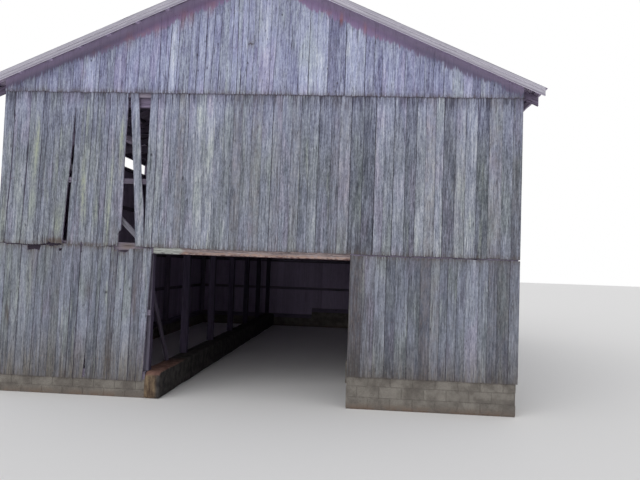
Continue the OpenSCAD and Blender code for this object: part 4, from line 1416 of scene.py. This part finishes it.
class WeatheredBoards(Material):
    """Silver-grey boards: streaks and cracks along the grain, knots, stains, damp feet, and old paint"""

    def __init__(self):
        super().__init__("weathered_boards")
        self.grain = self.attribute("grain")
        self.bright, self.hue, self.level = self.parts(self.attribute("tone"))
        self.edge, self.inside, self.end = self.parts(self.attribute("wear"))
        self.lichen_here, self.brown_here, self.dark_here = self.parts(self.attribute("stain"))
        self.here = self.place()
        x, _, self.z = self.parts(self.here)
        self.from_ridge = abs(x)
        self.drop = ridge_z - self.from_ridge * slope - self.z
        self.gable = self.span(self.level, 0.7, 0.9)
        self.middle = self.span(self.level, 0.2, 0.4) * (1.0 - self.gable)
        self.fibre = self.streaks(self.grain, 150, 12, 3.0, 0.28, 0.72)
        self.streak = self.streaks(self.grain, 40, 2.4, 5.0, 0.32, 0.68, 0.64)
        self.speck = self.streaks(self.grain, 48, 17, 3.0, 0.30, 0.70, 0.6)
        self.band = self.streaks(self.grain, 12, 0.7, 3.0, 0.34, 0.66)
        self.blotch = self.streaks(self.grain, 11, 4.5, 5.0, 0.32, 0.68, 0.7)
        self.value = self.wood_value()
        self.stain = self.capped(self.brown_here, self.span(self.streak, 0.1, 0.8, 1.0, 0.45))
        self.hollow = self.hollows()

    def wood_value(self):
        """How light the bare wood is"""
        texture = (0.10 * self.fibre + 0.32 * self.streak + 0.20 * self.speck + 0.16 * self.band
                   + 0.13 * self.blotch)
        strength = self.span(self.level, 0.1, 0.3, TEXTURE_LOWER, TEXTURE_UPPER)
        value = (texture - TEXTURE_MEAN) * strength + (TEXTURE_MEAN + 0.1) + self.bright * TONE_SPREAD
        value = value - TONE_SPREAD / 2 - self.dark_here * 0.24
        drips = self.span(gable_foot - self.z, 0.02, STREAK_DROP, 1.0, 0.0) * self.middle
        drips = drips * self.streaks(self.grain, 34, 1.2, 3.0, 0.45, 0.55)
        return value - drips * 0.30 - self.span(self.level, 0.1, 0.3, 0.025, -0.015) - self.gable * 0.025

    def hollows(self):
        """Cracks, pits, knots and deep stains"""
        crack = self.cracks(self.grain, 24, 0.6, 0.013) * self.span(self.blotch, 0.2, 0.7, 0.1, 0.9)
        pit = self.span(self.noise(self.grain, (52, 15, 52), 2.0), 0.66, 0.74, 0.0, 0.6)
        knot = self.knots(self.grain, 0.40, 0.022, 0.25)
        deep = self.span(self.dark_here, 0.75, 1.25, 0.0, 0.8)
        return self.most(self.most(crack, pit), self.most(knot * 0.8, deep))

    def bare_wood(self):
        """Grey wood, bluer and paler higher up, partly from weathering and partly as painted sky glare, with
        warmer and cooler boards
        """
        blue = self.most(self.gable, self.middle * self.span(self.z, *UPPER_BLUE, 0.0, 0.45))
        colour = self.blend(blue, self.ramp(self.value, *GREY_WOOD), self.ramp(self.value, *PALE_WOOD))
        shade = self.ramp(self.noise(self.grain, (2.6, 0.7, 2.6), 2.0), *TINTS)
        colour = self.blend(1.0, colour, shade, "MULTIPLY")
        warm = self.span(self.hue, 0.5, 1.0) * self.span(self.blotch, 0.0, 1.0, 0.1, 0.5)
        warm = warm * self.span(self.gable, 0.0, 1.0, 0.9, 0.25)
        return self.blend(warm, colour, srgb(116, 108, 108))

    def stained(self, colour):
        """Lichen, brown stains and damp feet"""
        moss = self.span(self.noise(self.grain, (8, 0.6, 8), 2.0), 0.62, 0.74)
        moss = moss * self.span(self.gable, 0.0, 1.0, 0.3, 0.03)
        moss = self.most(moss, self.lichen_here, clamp=True)
        moss = moss * self.span(0.6 * self.streak + 0.4 * self.speck, 0.25, 0.70, 0.25, 0.90)
        colour = self.blend(moss, colour, srgb(160, 167, 142))
        red_here = self.gable * self.span(self.drop, 0.45, 0.75, 1.0, 0.0)
        colour = self.blend(self.stain, colour, self.blend(red_here, srgb(88, 76, 70), srgb(150, 92, 84)))
        damp = self.span(self.z, *DAMP_Z, 1.0, 0.0) * self.span(self.band, 0.1, 0.9, 0.55, 1.0)
        damp_wood = self.ramp(self.value, (0.30, srgb(62, 59, 56)), (0.75, srgb(120, 115, 108)))
        return self.blend(damp * self.span(self.inside, 0.0, 1.0, 0.95, 0.0), colour, damp_wood)

    def worn(self, colour):
        """Dark hollows, ends and edges; the edges are partly wear and dirt and partly painted shade along the
        joints
        """
        colour = self.blend(self.hollow, colour, srgb(58, 55, 64))
        ends = self.end * self.span(self.streak, 0.0, 1.0, 0.9, 0.3)
        colour = self.blend(ends, colour, srgb(88, 81, 78))
        # Darker edges: partly wear and dirt, partly painted shade of the joints
        edges = self.span(self.edge, 0.2, 0.95) * self.span(self.speck, 0.1, 0.9, 0.50, 0.16)
        edges = edges * self.span(self.level, 0.1, 0.3, 1.0, 0.62)
        return self.blend(edges, colour, srgb(66, 65, 72))

    def painted(self, colour):
        """The ragged band of old paint under the roof, redder here and there, and pale right under the
        sheets, where painted light makes up for the overhang's shade
        """
        ragged = (0.6 * self.noise(self.grain, (30, 1.3, 30), 4.0)
                  + 0.4 * self.noise(self.here, (2.2, 2.2, 2.2), 2.0))
        reach = self.drop + self.span(ragged, 0.38, 0.62, -0.06, 0.05)
        reach = reach + self.span(self.from_ridge, 2.5, half_w, -0.02, 0.10)
        paint = self.span(reach, PAINT_REACH - 0.02, PAINT_REACH + 0.04, 1.0, 0.0) * self.gable
        rust_red = self.streaks(self.here, 3.1, 3.1, 2.0, 0.54, 0.68)
        rust_red = rust_red * self.span(self.drop, PAINT_REACH - 0.14, PAINT_REACH, 0.0, 0.7)
        by_ridge = self.span(self.from_ridge, 3.4, 1.8)
        old_paint = self.blend(by_ridge, srgb(119, 110, 135), srgb(142, 122, 156))
        red_paint = self.blend(by_ridge, srgb(134, 108, 126), srgb(160, 126, 142))
        old_paint = self.blend(self.most(rust_red, self.stain), old_paint, red_paint)
        # Painted light: the paint is made pale right under the sheets, against the shade of the overhang
        old_paint = self.blend(self.span(self.drop, 0.0, 0.18, 1.0, 0.0), old_paint, srgb(182, 168, 196))
        return self.blend(paint * self.span(self.streak, 0.0, 0.6, 0.80, 1.0), colour, old_paint)

    def made(self):
        """The finished material, whose inner faces are painted in a pale lilac-grey: painted light for the
        inside of the barn
        """
        colour = self.painted(self.worn(self.stained(self.bare_wood())))
        # Painted light: the inner faces get a pale lilac-grey, far paler than the wood, so the dim inside
        # looks lit
        brown = self.ramp(self.value, (0.2, srgb(160, 147, 174)), (0.8, srgb(198, 184, 212)))
        colour = self.blend(self.inside, colour, brown)
        height = (0.30 * self.fibre + 0.40 * self.streak + 0.25 * self.speck + 0.2 * self.band
                  + -0.9 * self.hollow)
        return self.finish(colour, self.span(self.streak, 0.0, 1.0, 0.95, 0.78), height, 0.004)


def rake_wood():
    """Bare, bleached rake boards with a faint grain, with painted shade a little darker along their lower
    edge and painted light on their undersides
    """
    g = Material("bleached_rakes")
    grain = g.attribute("grain")
    bright = g.parts(g.attribute("tone"))[0]
    x, _, z = g.parts(g.place())
    fibre = g.streaks(grain, 130, 8)
    streak = g.streaks(grain, 30, 1.2, 4.0)
    value = 0.25 * fibre + 0.45 * streak + 0.3 * bright
    colour = g.ramp(value, (0.1, srgb(156, 153, 164)), (0.9, srgb(190, 187, 197)))
    drop = ridge_z - abs(x) * slope - z
    # Painted shade along the rake board's lower edge
    foot_shade = g.span(drop, RAKE_FOOT - RAKE_SHADE_HEIGHT, RAKE_FOOT - 0.01, 0.0, 0.85)
    colour = g.blend(foot_shade, colour, srgb(128, 122, 137))
    # Painted light: faces turned downwards are made near-white against their shade
    colour = g.blend(g.span(g.normal()[2], -0.75, -0.5, 1.0, 0.0), colour, srgb(240, 234, 246))
    crack = g.cracks(grain, 14, 0.5, 0.010)
    colour = g.blend(crack * 0.35, colour, srgb(96, 92, 102))
    height = 0.3 * fibre + 0.5 * streak + -0.6 * crack
    return g.finish(colour, g.span(streak, 0.0, 1.0, 0.95, 0.8), height, 0.003)


def old_timber(name, dark, light, grey_share):
    """Dark timber, greyer where it is dry and where it stands in the face of the front wall, with painted
    light on its ends out past the end walls
    """
    g = Material(name)
    grain = g.attribute("grain")
    bright, _, bleach = g.parts(g.attribute("tone"))
    pale_here, brown_here, dark_here = g.parts(g.attribute("stain"))
    fibre = g.streaks(grain, 140, 6)
    streak = g.streaks(grain, 34, 1.6, 4.0)
    band = g.streaks(grain, 6, 0.4, 2.0, 0.32, 0.68)
    value = 0.25 * fibre + 0.35 * streak + 0.2 * band + 0.25 * bright
    x, y, _ = g.parts(g.place())
    face = g.span(y, TIMBER_FACE_Y, TIMBER_FACE_Y + 0.012, 1.0, 0.0) * bleach
    # Near the doorway the door posts' front faces keep the painted shade
    face = face * g.span(abs(x), POST_GREY_X - 0.012, POST_GREY_X + 0.004)
    out = g.most(g.span(band, 0.4, 0.9) * grey_share, face)
    weather = g.ramp(value, (0.1, srgb(84, 83, 92)), (0.9, srgb(134, 132, 142)))
    colour = g.blend(out, g.ramp(value, (0.1, dark), (0.9, light)), weather)
    # Painted light: timber out past the end walls, the purlins' ends under the overhang, is made pale against
    # the shade there
    colour = g.blend(g.span(abs(y), half_l, half_l + 0.01), colour, srgb(196, 182, 210))
    colour = g.blend(g.capped(pale_here, 0.8), colour, srgb(152, 143, 156))
    colour = g.blend(g.capped(brown_here, 0.8), colour, srgb(120, 108, 105))
    # Dark stains, among them the painted shade on the girts and on the propping plank
    colour = g.blend(g.capped(dark_here, 0.85), colour, srgb(50, 43, 54))
    deep = g.most(g.cracks(grain, 16, 0.35, 0.012), g.knots(grain, 0.5, 0.03, 0.3) * 0.7)
    colour = g.blend(deep, colour, srgb(38, 32, 38))
    height = 0.3 * fibre + 0.5 * streak + -1.0 * deep
    return g.finish(colour, g.span(streak, 0.0, 1.0, 0.92, 0.75), height, 0.005)


def painted_header():
    """The header over the doorway: grey at its left end, then pinkish with an orange line, which is a painted
    highlight, and a dark foot
    """
    g = Material("painted_header")
    grain = g.attribute("grain")
    x, _, z = g.parts(g.place())
    fibre = g.streaks(grain, 150, 10)
    streak = g.streaks(grain, 40, 1.6, 4.0)
    speck = g.streaks(grain, 48, 14)
    value = 0.2 * fibre + 0.5 * streak + 0.3 * speck
    grey = g.ramp(value, (0.1, srgb(130, 132, 129)), (0.9, srgb(184, 187, 182)))
    pink = g.ramp(value, (0.1, srgb(104, 92, 94)), (0.9, srgb(166, 152, 150)))
    ragged_x = x + g.span(g.noise(grain, (6, 2, 6), 2.0), 0.3, 0.7, -0.06, 0.06)
    painted = g.span(ragged_x, HEADER_PINK_X - 0.05, HEADER_PINK_X + 0.05)
    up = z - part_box("door_header")[0].z + g.span(speck, 0.0, 1.0, -0.012, 0.012)
    # The orange line is a painted highlight
    line = (1.0 - g.span(abs(up - HEADER_HIGHLIGHT_DROP), 0.004, 0.016)) * painted
    colour = g.blend(line * 0.45, g.blend(painted, grey, pink), srgb(180, 142, 118))
    rim = g.span(up, 0.0, 0.022, 1.0, 0.0)
    colour = g.blend(rim * 0.8, colour, g.blend(painted, srgb(80, 78, 86), srgb(92, 56, 50)))
    crack = g.cracks(grain, 18, 0.5, 0.012)
    colour = g.blend(crack, colour, srgb(60, 54, 58))
    height = 0.3 * fibre + 0.5 * streak + -0.8 * crack
    return g.finish(colour, g.span(streak, 0.0, 1.0, 0.92, 0.75), height, 0.004)


def block_concrete():
    """Concrete blocks: sandy grain, pits, pale mortar, clay splashed up from the ground"""
    g = Material("block_concrete", specular=0.25)
    bright, _, mortar = g.parts(g.attribute("tone"))
    place = g.place()
    z = g.parts(place)[2]
    sand = g.streaks(place, 220, 220, 2.0)
    cloud = g.streaks(place, 5, 5, 4.0)
    pits = g.streaks(place, 90, 90, 1.0, 0.62, 0.70)
    value = 0.35 * sand + 0.5 * cloud + 0.15 * bright
    colour = g.ramp(value, (0.1, srgb(90, 84, 80)), (0.5, srgb(114, 109, 103)), (0.9, srgb(138, 133, 126)))
    colour = g.blend(mortar * 0.5, colour, srgb(106, 101, 96))
    splash = g.span(z, 0.0, 0.16, 1.0, 0.0) * g.span(cloud, 0.2, 0.8, 0.2, 0.8)
    colour = g.blend(splash, colour, srgb(106, 88, 76))
    colour = g.blend(pits, colour, srgb(64, 60, 58))
    height = 0.5 * sand + 0.5 * cloud + -1.0 * pits
    return g.finish(colour, g.span(sand, 0.0, 1.0, 0.95, 0.85), height, 0.003)


def clay_curb():
    """The curb: stained by clay at its open end, red on top, and dark farther in and toward the drive, which
    is painted shade
    """
    g = Material("clay_curb")
    place = g.place()
    x, y, _ = g.parts(place)
    curb_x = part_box("drive_curb")[1].x
    _, normal_y, normal_z = g.normal()
    sand = g.streaks(place, 160, 160, 2.0)
    cloud = g.streaks(place, 7, 7, 4.0)
    streak = g.span(g.noise(place, (26, 26, 3.5), 3.0), 0.3, 0.7)
    crack = g.cracks(g.attribute("grain"), 9, 0.7, 0.012) * g.span(abs(normal_y), 0.4, 0.7, 0.8, 0.0)
    side = g.ramp(0.3 * sand + 0.3 * cloud + 0.4 * streak, (0.1, srgb(56, 45, 38)), (0.5, srgb(98, 82, 68)),
                  (0.9, srgb(142, 124, 98)))
    even = 0.4 * sand + 0.6 * cloud
    # The dark colour called damp here is painted shade
    damp = g.ramp(even, (0.1, srgb(40, 38, 40)), (0.9, srgb(74, 70, 68)))
    in_shade = g.most(g.span(y, CURB_SHADE_Y, CURB_SHADE_Y + 0.06), g.span(x, curb_x - 0.12, curb_x - 0.03))
    side = g.blend(in_shade, side, damp)
    top = g.ramp(even, (0.1, srgb(92, 66, 62)), (0.9, srgb(136, 104, 92)))
    # The top farther in gets the same painted shade
    top = g.blend(g.span(y, CURB_TOP_SHADE_Y, CURB_TOP_SHADE_Y + 0.9), top, damp)
    colour = g.blend(g.span(normal_z, 0.3, 0.8), side, top)
    colour = g.blend(crack * g.span(cloud, 0.3, 0.8, 0.2, 0.9), colour, srgb(44, 36, 33))
    height = 0.3 * sand + 0.6 * cloud + 0.3 * streak + -0.7 * crack
    return g.finish(colour, g.span(cloud, 0.0, 1.0, 0.95, 0.8), height, 0.012)


def rusty_metal():
    """Old zinc-coated steel: dull grey, rust in patches and runs down the slope, more at the laps, with a
    painted glint on the verge edge and painted light on the underside
    """
    g = Material("rusty_metal", specular=0.5, metallic=0.35)
    grain = g.attribute("grain")
    bright = g.parts(g.attribute("tone"))[0]
    edge, inside, end = g.parts(g.attribute("wear"))
    spangle = g.streaks(grain, 60, 60, 2.0)
    run = g.streaks(grain, 22, 1.1, 4.0)
    cloud = g.streaks(grain, 2.2, 1.0, 4.0)
    zinc = g.ramp(0.5 * spangle + 0.5 * run, (0.1, srgb(122, 121, 124)), (0.9, srgb(160, 159, 162)))
    rust = g.ramp(0.6 * run + 0.4 * spangle, (0.1, srgb(78, 52, 42)), (0.5, srgb(116, 76, 56)),
                  (0.9, srgb(146, 100, 72)))
    amount = 0.42 * cloud + 0.30 * run + 0.24 * bright + 0.30 * edge + 0.3 * end
    y = abs(g.parts(g.place())[1])
    verge = g.span(y, sheet_high.y - 0.012, sheet_high.y - 0.004)
    rusted = g.span(amount, 0.42, 0.84) * (1.0 - verge) * g.span(inside, 0.0, 1.0, 1.0, 0.3)
    colour = g.blend(rusted, zinc, rust)
    # Painted highlight: the verge edge is made near-white, a glint of the metal
    colour = g.blend(verge, colour, srgb(246, 245, 250))
    # Painted light: the undersides are made pale against their shade
    colour = g.blend(inside * g.span(verge, 0.0, 1.0, 0.85, 0.0), colour, srgb(206, 192, 218))
    height = 0.3 * spangle + 0.4 * (rusted * run)
    return g.finish(colour, g.span(rusted, 0.0, 1.0, 0.55, 0.9), height, 0.001)


# Camera, light and floor

def place_in_scene(name, data):
    """A new object in the scene, which is no part of the barn"""
    made = bpy.data.objects.new(name, data)
    bpy.context.scene.collection.objects.link(made)
    return made


def make_camera():
    """The camera, placed where the photograph was taken"""
    yaw, pitch, roll = CAMERA_YAW, CAMERA_PITCH, CAMERA_ROLL
    forward = Vector((-math.sin(yaw) * math.cos(pitch), math.cos(yaw) * math.cos(pitch), math.sin(pitch)))
    level_right = Vector((math.cos(yaw), math.sin(yaw), 0))
    level_up = level_right.cross(forward)
    right = math.cos(roll) * level_right + math.sin(roll) * level_up
    up = math.cos(roll) * level_up - math.sin(roll) * level_right
    data = bpy.data.cameras.new("camera")
    data.sensor_width = SENSOR_MM
    data.lens = FOCAL_PX / PHOTO_WIDTH_PX * SENSOR_MM
    data.clip_end = 500
    camera = place_in_scene("camera", data)
    turn = Matrix((right, up, -forward)).transposed().to_4x4()
    camera.matrix_world = Matrix.Translation(CAMERA_PLACE) @ turn
    bpy.context.scene.camera = camera


def make_light():
    """An overcast sky that looks white by itself, and a soft sun"""
    world = bpy.data.worlds.new("studio")
    nodes = Nodes(world)
    ray = nodes.add("LightPath", {})
    seen = nodes.most(nodes.most(ray["Is Camera Ray"], ray["Is Glossy Ray"]), ray["Is Transmission Ray"])
    light = nodes.add("Background", {"Color": WORLD_COLOUR, "Strength": WORLD_LEVEL})[0]
    white = nodes.add("Background", {"Color": WHITE, "Strength": 1.0})[0]
    nodes.add("OutputWorld", {0: nodes.add("MixShader", {0: seen, 1: light, 2: white})[0]})
    bpy.context.scene.world = world
    sun = bpy.data.lights.new("sun", "SUN")
    sun.energy = SUN_LEVEL
    sun.angle = math.radians(SUN_SOFTNESS)
    lamp = place_in_scene("sun", sun)
    lamp.rotation_mode = "QUATERNION"
    lamp.rotation_quaternion = SUN_TOWARDS.to_track_quat("-Z", "Y")


def make_floor():
    """A wide pale floor"""
    mesh = bpy.data.meshes.new("floor")
    r = FLOOR_REACH
    mesh.from_pydata([(-r, -r, 0), (r, -r, 0), (r, r, 0), (-r, r, 0)], [], [[0, 1, 2, 3]])
    g = Material("pale_floor", specular=0.1)
    g.put(g.shader.inputs["Base Color"], FLOOR_COLOUR)
    g.put(g.shader.inputs["Roughness"], 0.9)
    mesh.materials.append(g.material)
    place_in_scene("floor", mesh)


def main():
    """Builds the whole scene"""
    # Without a seed of its own this noise differs from run to run
    noise.seed_set(SEED)
    make_camera()
    make_light()
    make_floor()
    boards = WeatheredBoards().made()
    hewn_wood = old_timber("hewn_timber", srgb(98, 88, 108), srgb(146, 134, 158), 0.15)
    sawn_wood = old_timber("sawn_rails", srgb(96, 87, 104), srgb(144, 132, 154), 0.15)
    # Painted shade: the door posts and the posts of the drive get a darker copy of the timber, as dark as the
    # inside
    shaded_post_wood = old_timber("shaded_post_timber", srgb(48, 42, 58), srgb(86, 76, 98), 0.0)
    metal = rusty_metal()
    nails = Piece("nails")
    make_front_boards(boards, nails)
    make_loose_board(boards)
    make_back_boards(boards, nails)
    make_side_boards(boards, nails)
    make_timbers(hewn_wood, sawn_wood, shaded_post_wood, painted_header())
    make_rake_boards(rake_wood())
    make_foundations(block_concrete())
    make_curb(clay_curb())
    make_roof(metal, nails)
    make_ridge(metal)
    nails.build(metal, "roof_metal")
    view = bpy.context.scene.view_settings
    view.view_transform = "Standard"


main()
